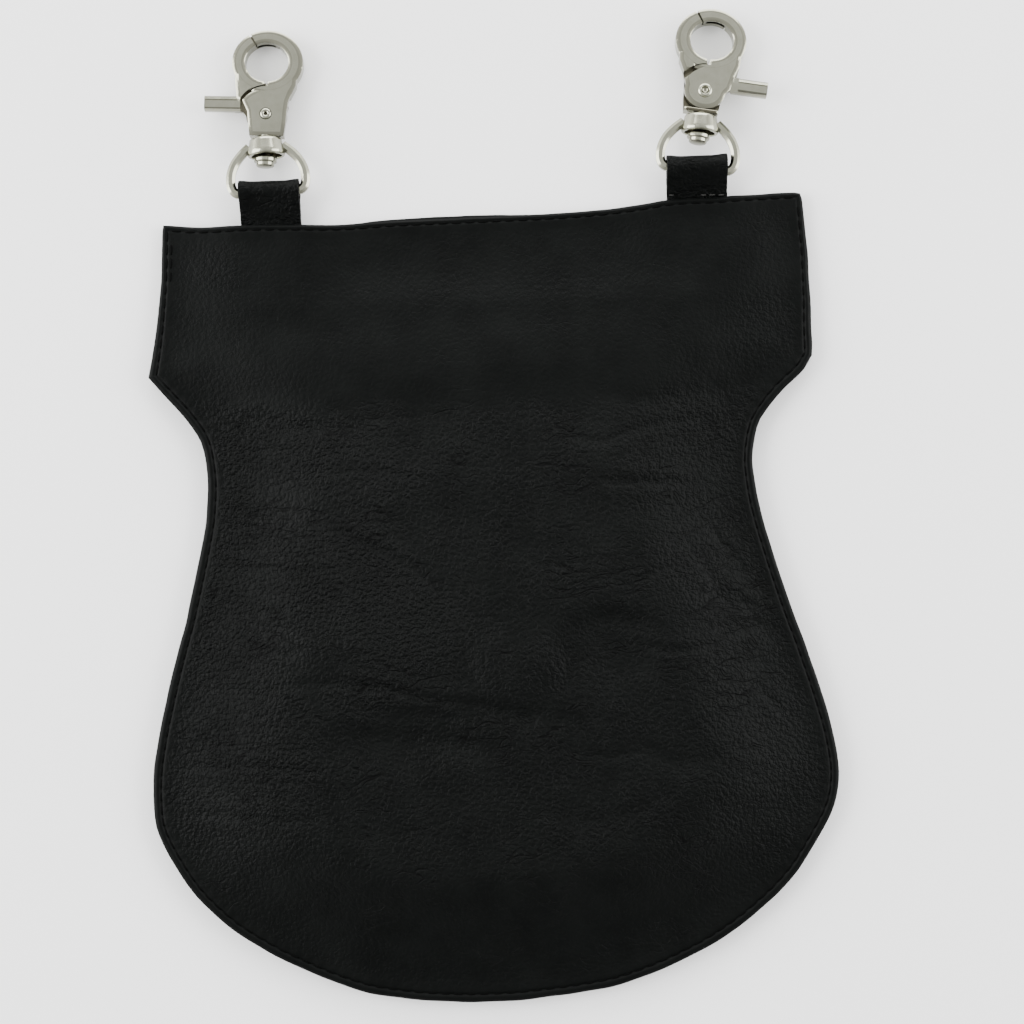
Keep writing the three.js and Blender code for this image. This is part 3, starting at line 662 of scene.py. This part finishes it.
def leather_panel(name, outline, cells, fine, lower, upper, material):
    """A leather sheet cut to an outline: its lower and upper surfaces lie at the heights that two functions give.
    A fine upper surface has its cells halved."""
    bm = bmesh.new()
    face = bm.faces.new([bm.verts.new((x, y, 0)) for x, y in outline])
    made = bmesh.ops.extrude_face_region(bm, geom=[face])["geom"]
    bmesh.ops.translate(bm, verts=[v for v in made if isinstance(v, bmesh.types.BMVert)], vec=(0, 0, 1))
    bmesh.ops.recalc_face_normals(bm, faces=bm.faces)
    low = np.min(outline, axis=0)
    high = np.max(outline, axis=0)
    for up, cell in ((False, cells[0]), (True, cells[1])):
        middle = next(f for f in bm.faces if abs(f.normal.z) > 0.5 and (f.normal.z > 0) == up)
        side = [middle]
        for width in EDGE_RINGS:
            side += bmesh.ops.inset_region(bm, faces=[middle], thickness=width, use_even_offset=True)["faces"]
        side = slice_grid(bm, side, low, high, cell)
        if up and fine:
            edges = list(dict.fromkeys(e for f in side for e in f.edges))
            bmesh.ops.subdivide_edges(bm, edges=edges, cuts=1, use_grid_fill=True)
    place = np.array([v.co for v in bm.verts])
    x, y, up = place[:, 0], place[:, 1], place[:, 2] > 0.5
    depth, along = depth_inside(outline, x, y)
    depth = np.maximum(depth, 0)
    heights = np.zeros(len(x))
    for chosen, surface in ((up, upper), (~up, lower)):
        heights[chosen] = surface(x[chosen], y[chosen], depth[chosen], along[chosen])
    sway = 0.22 * np.exp(-depth / 6)
    worn_x, worn_y = worn_corners(x, y)
    moved_x = x + worn_x + sway * noise_at(x, y, 9, 3.0)
    moved_y = y + worn_y + sway * noise_at(x, y, 9, 8.0)
    inside = smooth(depth, 2.8, 6)
    coarse = bm.verts.layers.float.new("coarse")
    creased = bm.verts.layers.float.new("creased")
    rows = zip(bm.verts, moved_x, moved_y, heights, coarseness(x, y) * inside, creasing(x, y) * inside)
    for v, px, py, pz, how_coarse, how_creased in rows:
        v.co = (px, py, pz)
        v[coarse], v[creased] = how_coarse, how_creased
    return finish_mesh(name, bm, material)


def put_in_order(bm):
    """Sort a bmesh's elements by place, so that they come in the same order in each run."""
    for elements, middle in ((bm.verts, lambda v: v.co), (bm.edges, lambda e: e.verts[0].co + e.verts[1].co),
                             (bm.faces, lambda f: f.calc_center_median())):
        elements.sort(key=lambda element: middle(element).dot(SORTING_LINE))


def finish_mesh(name, bm, material, sharp=None, placed=None):
    """Turn a bmesh into an object in metres. Edges sharper than an angle in degrees stay crisp."""
    put_in_order(bm)
    bmesh.ops.transform(bm, matrix=TO_METRES @ (placed or Matrix.Identity(4)), verts=bm.verts)
    for face in bm.faces:
        face.smooth = True
    if sharp:
        for edge in bm.edges:
            edge.smooth = not (edge.is_manifold and edge.calc_face_angle(0) > radians(sharp))
    mesh = bpy.data.meshes.new(name)
    bm.to_mesh(mesh)
    bm.free()
    mesh.materials.append(material)
    piece = bpy.data.objects.new(name, mesh)
    bpy.context.collection.objects.link(piece)
    return piece


def softened_depth(x, y):
    """Depth inside the bag's outline, rounded off along the lines where two edges are equally near."""
    steps = ((0, 0), (7, 0), (-7, 0), (0, 7), (0, -7), (5, 5), (-5, 5), (5, -5), (-5, -5))
    return sum(np.maximum(depth_inside(BAG, x + dx, y + dy)[0], 0) for dx, dy in steps) / len(steps)


def soften(piece, name, width, angle):
    """Round off the edges sharper than an angle in degrees by a width in metres."""
    bevel = piece.modifiers.new(name, "BEVEL")
    bevel.width, bevel.segments, bevel.limit_method, bevel.angle_limit = width, 2, "ANGLE", radians(angle)


# The panels' surfaces: heights at points with their depths inside the outline and places along it.


def back_top(x, y, depth, along):
    swell = 0.22 * noise_at(x, y, 24, 1.0) + 0.12 * noise_at(x, y, 9, 5.0)
    body = smooth(61 - y, 0, 10) * (1 - 0.8 * smooth(-y, 70, 90))
    lumps = 0.3 * noise_at(x, y, 13, 17.0) + 0.12 * noise_at(x, y, 5, 19.0)
    swell += body * (0.35 + 0.65 * smooth(-x, -10, 40)) * lumps
    inner = smooth(depth, 4, 14)
    return back_bed(x, y, depth) + LEATHER + seam_relief(y, depth, along) + inner * (swell + fold_height(x, y))


def back_under(x, y, depth, along):
    return back_bed(x, y, depth) + 0.15 * noise_at(x, y, 24, 1.0) * smooth(depth, 4, 14)


def front_top(x, y, depth, along):
    return front_bed(x, y) + LEATHER - 0.1 * smooth(depth, 0, 4)


def front_under(x, y, depth, along):
    sewn = y < MOUTH_Y - 3
    relief = -seam_relief(y, depth, along) * np.where(sewn, 1, 0)
    return np.maximum(front_bed(x, y) + 0.5 * relief + 0.35 * rim_drop(depth), 0.0)


def flap_top(x, y, depth, along):
    return flap_bed(y) + LEATHER - 0.35 * rim_drop(depth)


def flap_under(x, y, depth, along):
    groove = 0.3 * np.exp(-((depth - seam_inset(y)) / 0.5) ** 2)
    return flap_bed(y) + 0.35 * rim_drop(depth) + groove


def make_panels():
    plain = (MIDDLE_CELL, COARSE_CELL), False
    panels = (
        ("back_leather", "back_panel", BAG, (COARSE_CELL, FINE_CELL), True, back_under, back_top),
        ("front_leather", "front_panel", FRONT, *plain, front_under, front_top),
        ("flap_leather", "flap", FLAP, *plain, flap_under, flap_top),
    )
    for name, node, *shape in panels:
        piece = leather_panel(name, *shape, PANEL_LEATHER)
        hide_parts(node)
        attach(piece, "bag")


# ---------------------------------------------------------------- stitches


def seam_line(outline, further):
    """Points along the seam, or a row further in, with their places along the outline."""
    corners = np.array(outline)
    step = np.roll(corners, -1, axis=0) - corners
    length = np.linalg.norm(step, axis=1)
    points = []
    for corner, side, size in zip(corners, step, length):
        inward = np.array([-side[1], side[0]]) / size
        for spot in (corner + side * t for t in np.arange(0, 1, 0.2 / size)):
            points.append(spot + inward * (seam_inset(spot[1]) + further))
    points = np.array(points)
    depth, along = depth_inside(outline, points[:, 0], points[:, 1])
    kept = depth > seam_inset(points[:, 1]) + further - 0.06
    return points[kept], along[kept]


def stitch_row(outline, further, wanted):
    """The two ends of each stitch of the seam whose middle passes a test."""
    points, along = seam_line(outline, further)
    stitches = []
    for k in range(1, int(along.max() / STITCH_PITCH)):
        ends = []
        for offset in (-0.5, 0.5):
            target = k * STITCH_PITCH + offset * STITCH_LENGTH
            nearest = int(np.argmin(np.abs(along - target)))
            if abs(along[nearest] - target) < 0.3:
                ends.append(points[nearest])
        if len(ends) == 2 and wanted((ends[0] + ends[1]) / 2):
            stitches.append(ends)
    return stitches


def thread_piece(name, stitches, heights, material, radius=0.33):
    """Short lengths of thread, half sunk in the leather, between pairs of points."""
    whole, batch = bmesh.new(), bpy.data.meshes.new("one stitch")
    places = np.array(stitches).reshape(-1, 2)
    ends = [Vector((x, y, z)) for (x, y), z in zip(places, heights(places[:, 0], places[:, 1]))]
    for start, end in zip(ends[::2], ends[1::2]):
        run = end - start
        turn = run.to_track_quat("X", "Z").to_matrix().to_4x4()
        size = Matrix.Diagonal((run.length / 2, radius, radius * 0.85, 1))
        bm = bmesh.new()
        bmesh.ops.create_uvsphere(bm, u_segments=8, v_segments=6, radius=1,
                                  matrix=Matrix.Translation((start + end) / 2) @ turn @ size)
        bm.to_mesh(batch)
        bm.free()
        whole.from_mesh(batch)
    bpy.data.meshes.remove(batch)
    piece = finish_mesh(name, whole, material)
    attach(piece, "bag")


# The few pale stitches under the right tab: the ends of each, and their height.
PALE_STITCHES = [((58.0, 119.3), (59.6, 119.2)), ((67.5, 119.0), (69.3, 118.9)), ((70.0, 118.9), (72.0, 118.9)),
                 ((72.7, 118.8), (74.6, 118.8))]
PALE_HEIGHT = 5.4


def make_stitches():
    beyond_x, low, high = SECOND_ROW
    on_back = stitch_row(BAG, 0, lambda p: True)
    # The seam starts and ends with a second row at the left corner.
    on_back += stitch_row(BAG, SECOND_ROW_INSET, lambda p: p[0] < beyond_x and low < p[1] < high)
    on_flap = stitch_row(FLAP, 0, lambda p: p[1] > FLAP_SEAM_END)
    on_front = stitch_row(BAG, 0, lambda p: p[1] < FRONT_SEAM_START)
    for name, stitches, outline, surface, lift in (
            ("back_stitches", on_back, BAG, back_top, 0.1), ("flap_stitches", on_flap, FLAP, flap_under, -0.08),
            ("front_stitches", on_front, BAG, front_under, -0.08)):
        thread_piece(name, stitches, lambda x, y: surface(x, y, *depth_inside(outline, x, y)) + lift, BLACK_THREAD)
    thread_piece("pale_stitches", PALE_STITCHES, lambda x, y: np.full(len(x), PALE_HEIGHT), PALE_THREAD, radius=0.17)


# ---------------------------------------------------------------- tabs


def tab_path(clip):
    """Middle of the strap's thickness: out of the seam, round the bar and back in, as y, z."""
    _, bar_y, bar_z = clip["bar"]
    edge = clip["edge"]
    low = 0.6 + LEATHER + GAP
    middle = low + LEATHER
    slope = atan2(bar_z - middle, bar_y - edge)
    leaning = TAB_WIDTH / 2 * sin(radians(abs(clip["eye"][0])))
    reach = max(0, leaning + BAR_HALF_WIDTH + LOOP_PLAY - LOOP_RADIUS)
    radius = LOOP_RADIUS + LEATHER / 2
    arc = []
    for i in range(-9, 10):
        angle = radians(i * 11)
        a, b = reach + radius * cos(angle), radius * sin(angle)
        arc.append((bar_y + a * cos(slope) - b * sin(slope), bar_z + a * sin(slope) + b * cos(slope)))
    return [(edge - 7, low + 0.45), (edge - 3, low + 0.5), (edge + 0.4, low + 0.75), *arc,
            (edge + 0.4, low + 2.05), (edge - 3, low + 1.55), (edge - 7, low + 1.35)]


def make_tab(side):
    clip = CLIPS[side]
    x = clip["bar"][0]
    bm = bmesh.new()
    path = smooth_run(tab_path(clip), 0.7) + [tab_path(clip)[-1]]
    row = [bm.verts.new((x - TAB_WIDTH / 2, y, z)) for y, z in path]
    edges = [bm.edges.new(pair) for pair in zip(row, row[1:])]
    steps = 26
    for _ in range(steps):
        made = bmesh.ops.extrude_edge_only(bm, edges=edges)["geom"]
        edges = [e for e in made if isinstance(e, bmesh.types.BMEdge)]
        verts = [v for v in made if isinstance(v, bmesh.types.BMVert)]
        edges = [e for e in edges if all(v in verts for v in e.verts)]
        bmesh.ops.translate(bm, verts=verts, vec=(TAB_WIDTH / steps, 0, 0))
    bmesh.ops.recalc_face_normals(bm, faces=bm.faces)
    seed = 2.0 if side == "left" else 5.0
    for v in bm.verts:
        across = (v.co.x - x) / (TAB_WIDTH / 2)
        worn_off = TAB_EDGE_WORN + 0.18 * noise.noise((0, v.co.y / 2.5, seed + (4 if across > 0 else 0)))
        v.co.x -= worn_off * across ** 3
        away = Vector((0, v.co.y - clip["bar"][1], v.co.z - clip["bar"][2]))
        if away.length < LOOP_REACH:
            v.co += away.normalized() * TAB_MOUTH_FLARE * smooth(abs(across), 0.5, 0.95)
        if v.co.y > clip["edge"] + 0.5:
            long_crease = 0.16 * noise.noise((v.co.x / 5, v.co.y / 1.6, seed))
            v.co.z += long_crease + 0.1 * noise.noise((v.co.x / 2, v.co.y / 2, seed + 9))
    bmesh.ops.solidify(bm, geom=bm.faces[:], thickness=TAB_LEATHER_THICKNESS)
    piece = finish_mesh(f"tab_{side}_leather", bm, TAB_LEATHER)
    soften(piece, "worn edges", 0.0003, 60)
    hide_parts(f"tab_{side}")
    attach(piece, "bag")


# ---------------------------------------------------------------- clips

WIRE_PATH = [(5, 0), (9.6, 0), (10.95, 1.65), (11.1, 5.2), (9.9, 8.6), (7.7, 11.4), (5.0, 13.8)]
WIRE_HALF_WIDTH, WIRE_HALF_HEIGHT, BAR_HALF_WIDTH = 1.36, 1.22, 1.22
PIVOT_Y = 14.6  # from the bar's middle
RIVET_TO_PIVOT = 8.6
HALF, LAP = 2.5, 0.15  # half the hook's thickness, and the gap at its lap
RING_MIDDLE = (0.15, 15.75)
RING_OUTER, RING_INNER, RING_SQUASH, INNER_SHIFT = 10.6, 6.5, 0.915, -0.25
BEVEL_WIDTH, BEVEL_HEIGHT = 1.15, 0.45
RIVET_HOLE = 1.8
LEVER_Y, LEVER_END, LEVER_LENGTH = 3.2, -18.5, 10.8
SKY_RAYS, SKY_REACH = 24, 6.0
PAINTED_SHADE_FROM, PAINTED_SHADE_FULL = 0.42, 0.85  # shares of hidden sky where the painted shade starts and where it is full
SKIN = 0.06  # how far a solid that is joined to the ring stays under the ring's own faces


def ring_points(radius, start, end, steps=0):
    """Points on the hook's ring at a radius before it is squashed, between angles."""
    steps = steps or max(1, round(abs(end - start) / 6))
    shift = INNER_SHIFT if radius < RING_INNER + 0.2 else 0
    x, y = RING_MIDDLE
    return [(x + shift + radius * cos(radians(a)), y + RING_SQUASH * radius * sin(radians(a)))
            for a in np.linspace(start, end, steps + 1)]


def arc_points(radii, start, end, steps=12):
    """Points on an arc about the rivet whose radius may change on the way."""
    shares = np.linspace(0, 1, steps + 1)
    sizes = np.interp(shares, np.linspace(0, 1, len(radii)), radii)
    return [(r * cos(radians(a)), r * sin(radians(a))) for r, a in zip(sizes, start + (end - start) * shares)]


def prism(outline, low, high):
    bm = bmesh.new()
    face = bm.faces.new([bm.verts.new((x, y, low)) for x, y in outline])
    made = bmesh.ops.extrude_face_region(bm, geom=[face])["geom"]
    top = [v for v in made if isinstance(v, bmesh.types.BMVert)]
    bmesh.ops.translate(bm, verts=top, vec=(0, 0, high - low))
    bmesh.ops.recalc_face_normals(bm, faces=bm.faces)
    return bm


def casting(outline, low, high, upper=0.0, lower=0.0):
    """A flat casting between two heights, with a bevel as high as stated round its upper or lower rim."""
    bm = prism(outline, low + lower, high - upper)
    for up, rise in ((True, upper), (False, lower)):
        if rise:
            cap = next(f for f in bm.faces if abs(f.normal.z) > 0.9 and (f.normal.z > 0) == up)
            width = rise * BEVEL_WIDTH / BEVEL_HEIGHT
            bmesh.ops.inset_region(bm, faces=[cap], thickness=width, use_even_offset=True)
            bmesh.ops.translate(bm, verts=list(cap.verts), vec=(0, 0, rise if up else -rise))
    return bm


def disc(radius, low, high, middle=(0, 0), segments=72):
    bm = bmesh.new()
    bmesh.ops.create_cone(bm, cap_ends=True, segments=segments, radius1=radius, radius2=radius, depth=high - low,
                          matrix=Matrix.Translation((*middle, (low + high) / 2)))
    return bm


def turned_body(profile, segments=48):
    """A round body about the Y axis from rows of radius, y that start and end on the axis."""
    bm = bmesh.new()
    row = [bm.verts.new((r, y, 0)) for r, y in profile]
    edges = [bm.edges.new(pair) for pair in zip(row, row[1:])]
    bmesh.ops.spin(bm, geom=row + edges, cent=(0, 0, 0), axis=(0, 1, 0), angle=2 * pi, steps=segments,
                   use_merge=True)
    bmesh.ops.remove_doubles(bm, verts=bm.verts, dist=1e-4)
    bmesh.ops.recalc_face_normals(bm, faces=bm.faces)
    return bm


def ring_band():
    """The hook's whole ring before it is parted: an eight-sided bar bent round, squashed and thinned on one side."""
    side, edge = HALF - BEVEL_HEIGHT, HALF
    profile = [(RING_INNER, -side), (RING_INNER + BEVEL_WIDTH, -edge), (RING_OUTER - BEVEL_WIDTH - 0.1, -edge),
               (RING_OUTER, -side + 0.1), (RING_OUTER, side - 0.1), (RING_OUTER - BEVEL_WIDTH - 0.1, edge),
               (RING_INNER + BEVEL_WIDTH, edge), (RING_INNER, side)]
    bm = bmesh.new()
    row = [bm.verts.new((r, 0, z)) for r, z in profile]
    edges = [bm.edges.new(pair) for pair in zip(row, row[1:] + row[:1])]
    bmesh.ops.spin(bm, geom=row + edges, cent=(0, 0, 0), axis=(0, 0, 1), angle=2 * pi, steps=96, use_merge=True)
    bmesh.ops.remove_doubles(bm, verts=bm.verts, dist=1e-4)
    bmesh.ops.recalc_face_normals(bm, faces=bm.faces)
    for v in bm.verts:
        inner = (RING_OUTER - v.co.xy.length) / (RING_OUTER - RING_INNER)
        v.co.y *= RING_SQUASH
        v.co.x += INNER_SHIFT * inner
    bmesh.ops.translate(bm, verts=bm.verts, vec=(*RING_MIDDLE, 0))
    return bm


def sector(start, end, low, high, inner_start=None, outer=14):
    """A slab over part of the ring, between two angles."""
    return prism([*ring_points(outer, start, end), *ring_points(14.5 - outer, end, inner_start or start)], low, high)


def forged(whole, *steps):
    """A bmesh put through boolean steps, each an operation and another bmesh."""
    def helper(bm):
        mesh = bpy.data.meshes.new("helper")
        bm.to_mesh(mesh)
        bm.free()
        piece = bpy.data.objects.new("helper", mesh)
        bpy.context.collection.objects.link(piece)
        return piece

    whole = helper(whole)
    helpers = []
    for operation, bm in steps:
        step = whole.modifiers.new("step", "BOOLEAN")
        step.object, step.operation, step.solver = helper(bm), operation, "EXACT"
        helpers.append(step.object)
    shape = whole.evaluated_get(bpy.context.evaluated_depsgraph_get())
    bm = bmesh.new()
    bm.from_mesh(shape.to_mesh())
    shape.to_mesh_clear()
    for piece in [whole, *helpers]:
        mesh = piece.data
        bpy.data.objects.remove(piece)
        bpy.data.meshes.remove(mesh)
    put_in_order(bm)
    bmesh.ops.remove_doubles(bm, verts=bm.verts, dist=1e-3)
    bmesh.ops.dissolve_limit(bm, angle_limit=radians(0.5), verts=bm.verts, edges=bm.edges)
    return bm


def clip_place(clip, part):
    """Where the eye's bar, or the hook's rivet, puts a piece of the clip."""
    def pose(angles, flipped):
        lean, slope = angles
        return (Matrix.Rotation(radians(-lean), 4, "Z") @ Matrix.Rotation(radians(-slope), 4, "X")
                @ Matrix.Rotation(pi if flipped else 0, 4, "Y"))

    eye = Matrix.Translation(clip["bar"]) @ pose(clip["eye"], False)
    if part == "eye":
        return eye
    pivot = eye @ Vector((0, PIVOT_Y, 0))
    return Matrix.Translation(pivot) @ pose(clip["hook"], clip["flipped"]) @ Matrix.Translation((0, RIVET_TO_PIVOT, 0))


def bent_wire():
    """The D-ring: an eight-sided wire led along its path, flat side up."""
    half = smooth_run(WIRE_PATH, 0.55) + [WIRE_PATH[-1]]
    path = [Vector((-x, y, 0)) for x, y in half[::-1]] + [Vector((x, y, 0)) for x, y in half]
    bm = bmesh.new()
    bmesh.ops.create_circle(bm, cap_ends=True, segments=8, radius=1)
    bmesh.ops.rotate(bm, verts=bm.verts, matrix=Matrix.Rotation(pi / 8, 3, "Z"))
    headings = [(path[min(i + 1, len(path) - 1)] - path[max(i - 1, 0)]).normalized() for i in range(len(path))]
    across = [Vector((-h.y, h.x, 0)) for h in headings]
    grow = 1 / cos(pi / 8)
    cap = bm.faces[:][0]
    flat = [(v.co.x * grow, v.co.y * grow) for v in cap.verts]
    for i, (here, side) in enumerate(zip(path, across)):
        if i:
            made = bmesh.ops.extrude_face_region(bm, geom=[cap])["geom"]
            if i > 1:
                bmesh.ops.delete(bm, geom=[cap], context="FACES_ONLY")
            cap = next(f for f in made if isinstance(f, bmesh.types.BMFace))
        on_bar = abs(here.x) < 9 and here.y < 1
        wide = BAR_HALF_WIDTH if on_bar else WIRE_HALF_WIDTH
        spots = [here + side * a * wide + Vector((0, 0, b * WIRE_HALF_HEIGHT)) for a, b in flat]
        for order, v in enumerate(cap.verts):
            corner = min(range(len(flat)), key=lambda k: (v.co - last_spots[k]).length) if i else order
            v.co = spots[corner]
        last_spots = spots
    bmesh.ops.recalc_face_normals(bm, faces=bm.faces)
    return bm


def eye_shape():
    """The D-ring's wire and the swivel boss with its stepped bore."""
    boss = turned_body([
        (0, 10.7), (5.0, 10.7), (5.35, 10.8), (5.55, 11.1), (5.6, 11.5), (5.6, 12.0), (5.5, 12.4), (4.95, 15.0),
        (4.85, 15.5), (4.6, 15.8), (4.2, 15.9), (0, 15.9),
    ], 64)
    bore = turned_body([(0, 9.7), (4.7, 9.7), (4.5, 11.2), (4.1, 13.7), (2.45, 13.7), (2.45, 16.9), (0, 16.9)])
    return forged(bent_wire(), ("UNION", boss), ("DIFFERENCE", bore))


def hook_shape():
    """The hook's body: half-thick plate on side A, full arc on the right, collar, neck and swivel stem."""
    side_a = forged(sector(119, -87, LAP, 4, inner_start=124), ("UNION", disc(8.35, LAP, 4)))
    side_b = forged(sector(57, -85.5, -4.2, HALF - 0.95, inner_start=60, outer=13.6),
                    ("DIFFERENCE", disc(8.3, -5, 3)))
    ring = forged(ring_band(), ("INTERSECT", forged(side_a, ("UNION", side_b))))
    plate = casting([
        *ring_points(RING_INNER + SKIN, -84, -42), *ring_points(RING_INNER + 0.4, -14, -14, 1)[:1],
        *ring_points(RING_OUTER - SKIN, -8, -34, 1), (8.7, 8.6), (7.4, 6.2), (6.5, 3.6),
        (6.15, 0.4), (6.0, -2.6), (5.45, -6.6), (-4.75, -6.6), (-5.3, -2.0), (-5.55, 0.8),
        *arc_points([8.2, 7.9, 8.2], 150, 93, 8),
    ][::-1], LAP + SKIN, HALF - SKIN / 2, upper=BEVEL_HEIGHT)
    web = casting([
        *ring_points(RING_OUTER - 3.4, -62, 2, 4), *ring_points(RING_OUTER - SKIN, -8, -34, 1), (8.7, 8.6), (7.0, 5.2),
        (3.2, 5.6),
    ][::-1], SKIN / 2 - HALF, HALF - 1, lower=BEVEL_HEIGHT)
    web = forged(web, ("DIFFERENCE", disc(8.3, -5, 3)))
    collar = casting([(5.45, -6.6), (5.35, -5.6), (-4.65, -5.6), (-4.75, -6.6)][::-1], -HALF, HALF - 0.6, lower=0.3)
    stem = turned_body([
        (0, -15.9), (1.6, -15.85), (2.45, -15.6), (2.7, -15.3), (2.7, -14.45), (3.2, -14.4), (3.4, -14.1),
        (3.4, -13.2), (3.2, -12.9), (2.0, -12.8), (2.0, -7.0), (2.3, -6.6), (2.3, -6.3), (0, -6.3),
    ])
    return forged(ring, ("UNION", plate), ("UNION", web), ("UNION", collar), ("UNION", stem),
                  ("DIFFERENCE", disc(RIVET_HOLE, -4, 4, segments=40)))


def lever_bar():
    """The thumb lever: a grooved bar that lies along X."""
    upper = [(-2.2, 0.9), (-1.75, 1.75), (-1.35, 2.0), (0.7, 2.05), (0.82, 1.75), (0.98, 1.75), (1.1, 2.0),
             (1.75, 1.85), (2.2, 1.3)]  # y, z
    profile = upper + [(y, -z) for y, z in upper[::-1]]
    bm = bmesh.new()
    face = bm.faces.new([bm.verts.new((LEVER_END, LEVER_Y + y, z)) for y, z in profile])
    made = bmesh.ops.extrude_face_region(bm, geom=[face])["geom"]
    far_end = [v for v in made if isinstance(v, bmesh.types.BMVert)]
    bmesh.ops.translate(bm, verts=far_end, vec=(LEVER_LENGTH, 0, 0))
    bmesh.ops.recalc_face_normals(bm, faces=bm.faces)
    return bm


def trigger_shape():
    """The trigger: half-thick foot on side B, full arc on the left, and the thumb lever."""
    side_a = forged(sector(123, 262, 0.95 - HALF, 4, inner_start=128), ("DIFFERENCE", disc(8.75, -5, 5)))
    side_b = forged(sector(61, 264, -4, -LAP, inner_start=64), ("UNION", disc(8.0, -4, -LAP)))
    pocket = casting([*ring_points(RING_INNER + 1.3, 70, 121), *ring_points(RING_INNER - 1, 121, 70)], -1.5, 1)
    ring = forged(ring_band(), ("INTERSECT", forged(side_a, ("UNION", side_b))), ("DIFFERENCE", pocket))
    foot = casting([
        *ring_points(RING_INNER + SKIN, 262, 216), *ring_points(RING_INNER + 0.4, 194, 194, 1)[:1],
        *ring_points(RING_OUTER - SKIN, 186, 204, 1), (-9.3, 8.6), (-8.8, 7.2), (-8.2, 5.3),
        (-7.4, 1.3), (-6.4, 0.2),
        *[(6.1 * cos(radians(a)), 5.4 * sin(radians(a))) for a in np.linspace(186, 372, 24)],
        (6.7, 3.6), (6.2, 6.2), (4.4, 8.4), (2.2, 9.5), (0.4, 9.9),
    ], SKIN / 2 - HALF, -LAP - SKIN, lower=0.5)
    clear = prism([*arc_points([7.4, 6.6, 6.8, 7.5], 14, 91), (-0.5, 11), (12, 11), (12, 2)], -5, 3)
    arc = casting([
        *ring_points(RING_OUTER - SKIN, 182, 204, 1), (-9.3, 8.6), (-9.0, 6.6), (-8.9, 5.0), (-7.9, 2.4), (-3, 4.4),
        (2.2, 6.4), (1.8, 9.9), *ring_points(RING_INNER + SKIN, 276, 222),
        *ring_points(RING_INNER + 0.4, 192, 192, 1)[:1],
    ], 1 - HALF, HALF - SKIN / 2, upper=BEVEL_HEIGHT)
    arc = forged(arc, ("DIFFERENCE", disc(8.95, -5, 5)),
                 ("DIFFERENCE", prism([(-0.6, 8), (-0.6, 12), (4, 12), (4, 8)], -5, 5)))
    lever = lever_bar()
    root = prism([(-9.7, 5.3), (-9.7, 1.1), (-7.4, 1.1), (-7.9, 5.3)], -2.0, -LAP)
    return forged(ring, ("UNION", forged(foot, ("DIFFERENCE", clear))), ("UNION", arc), ("UNION", lever),
                  ("UNION", root), ("DIFFERENCE", disc(RIVET_HOLE, -4, 4, segments=40)))


def rivet_shape():
    """The rivet: a dimpled end on side A and a flared, hollow head on side B."""
    bm = turned_body([
        (0, -2.1), (0.5, -2.15), (0.95, -2.45), (1.15, -2.95), (1.35, -3.2), (1.75, -3.1), (2.05, -2.85),
        (2.15, -2.6), (1.5, -2.55), (1.62, 2.35), (1.6, 2.62), (1.35, 2.8), (1.0, 2.86), (0.75, 2.8), (0.5, 2.6),
        (0.42, 1.6), (0, 1.5),
    ], 36)
    bmesh.ops.rotate(bm, cent=(0, 0, 0), matrix=Matrix.Rotation(pi / 2, 3, "X"), verts=bm.verts)
    return bm


def mark_painted_shade(shapes):
    """Writes on each face how much painted shade it gets, 0 to 1: a little on bevels and sides, and the more the less
    sky it sees.
    """
    tree = BVHTree.FromPolygons(*joined_polygons(shapes))
    rises = [(k + 0.5) / SKY_RAYS for k in range(SKY_RAYS)]
    rays = [Vector((cos(2.4 * k) * sqrt(1 - h * h), sin(2.4 * k) * sqrt(1 - h * h), h)) for k, h in enumerate(rises)]
    for bm, placed, wear_and_side_shade in shapes:
        layer = bm.faces.layers.float.new("painted_shade")
        turned = placed.to_3x3()
        for face in bm.faces:
            normal = (turned @ face.normal).normalized()
            toward = normal.to_track_quat("Z", "Y")
            ways = [toward @ ray for ray in rays]
            corners = [v.co for v in face.verts]
            triangles = [[corners[i] for i in three] for three in tessellate_polygon([corners])]
            sizes = [area_tri(*three) for three in triangles]
            largest = sorted(range(len(sizes)), key=lambda i: -sizes[i])[:5]
            hidden = total = 0.0
            for i in largest:
                start = placed @ (sum(triangles[i], Vector()) / 3) + normal * 0.03
                struck = sum(1 for way in ways if tree.ray_cast(start, way, SKY_REACH)[0]) / SKY_RAYS
                hidden, total = hidden + struck * sizes[i], total + sizes[i]
            # Painted shade on bevels and sides: faces that turn away from the part's flat top and bottom.
            shade_on_sides = wear_and_side_shade * smooth(1 - abs(face.normal.z), 0.02, 0.06)
            face[layer] = float(max(shade_on_sides, smooth(hidden / max(total, 1e-9), PAINTED_SHADE_FROM, PAINTED_SHADE_FULL)))


def joined_polygons(shapes):
    """The points and faces of several placed bmeshes as one."""
    spots, faces = [], []
    for bm, placed, _ in shapes:
        bm.verts.index_update()
        first = len(spots)
        spots += [placed @ v.co for v in bm.verts]
        faces += [[first + v.index for v in face.verts] for face in bm.faces]
    return spots, faces


def make_clip(side):
    clip = CLIPS[side]
    # The last number in each row is how much painted shade the part's bevels and sides get.
    parts = (("eye", eye_shape, f"eye_{side}", 0.3), ("hook", hook_shape, f"hook_{side}", 0.42),
             ("trigger", trigger_shape, f"trigger_{side}", 0.42), ("rivet", rivet_shape, f"hook_{side}", 0.0))
    shapes = [(shape(), clip_place(clip, part), side_shade_share) for part, shape, _, side_shade_share in parts]
    mark_painted_shade(shapes)
    for (part, _, body, _), (bm, placed, _) in zip(parts, shapes):
        piece = finish_mesh(f"{part}_{side}_metal", bm, NICKEL, sharp=30, placed=placed)
        soften(piece, "polished edges", 0.00014, 30)
        piece.modifiers.new("even shading", "WEIGHTED_NORMAL")
        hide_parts(f"{part}_{side}")
        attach(piece, body)


make_panels()
make_stitches()
for side in CLIPS:
    make_tab(side)
    make_clip(side)

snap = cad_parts["closure_snap"]
snap.data.materials.clear()
snap.data.materials.append(NICKEL)
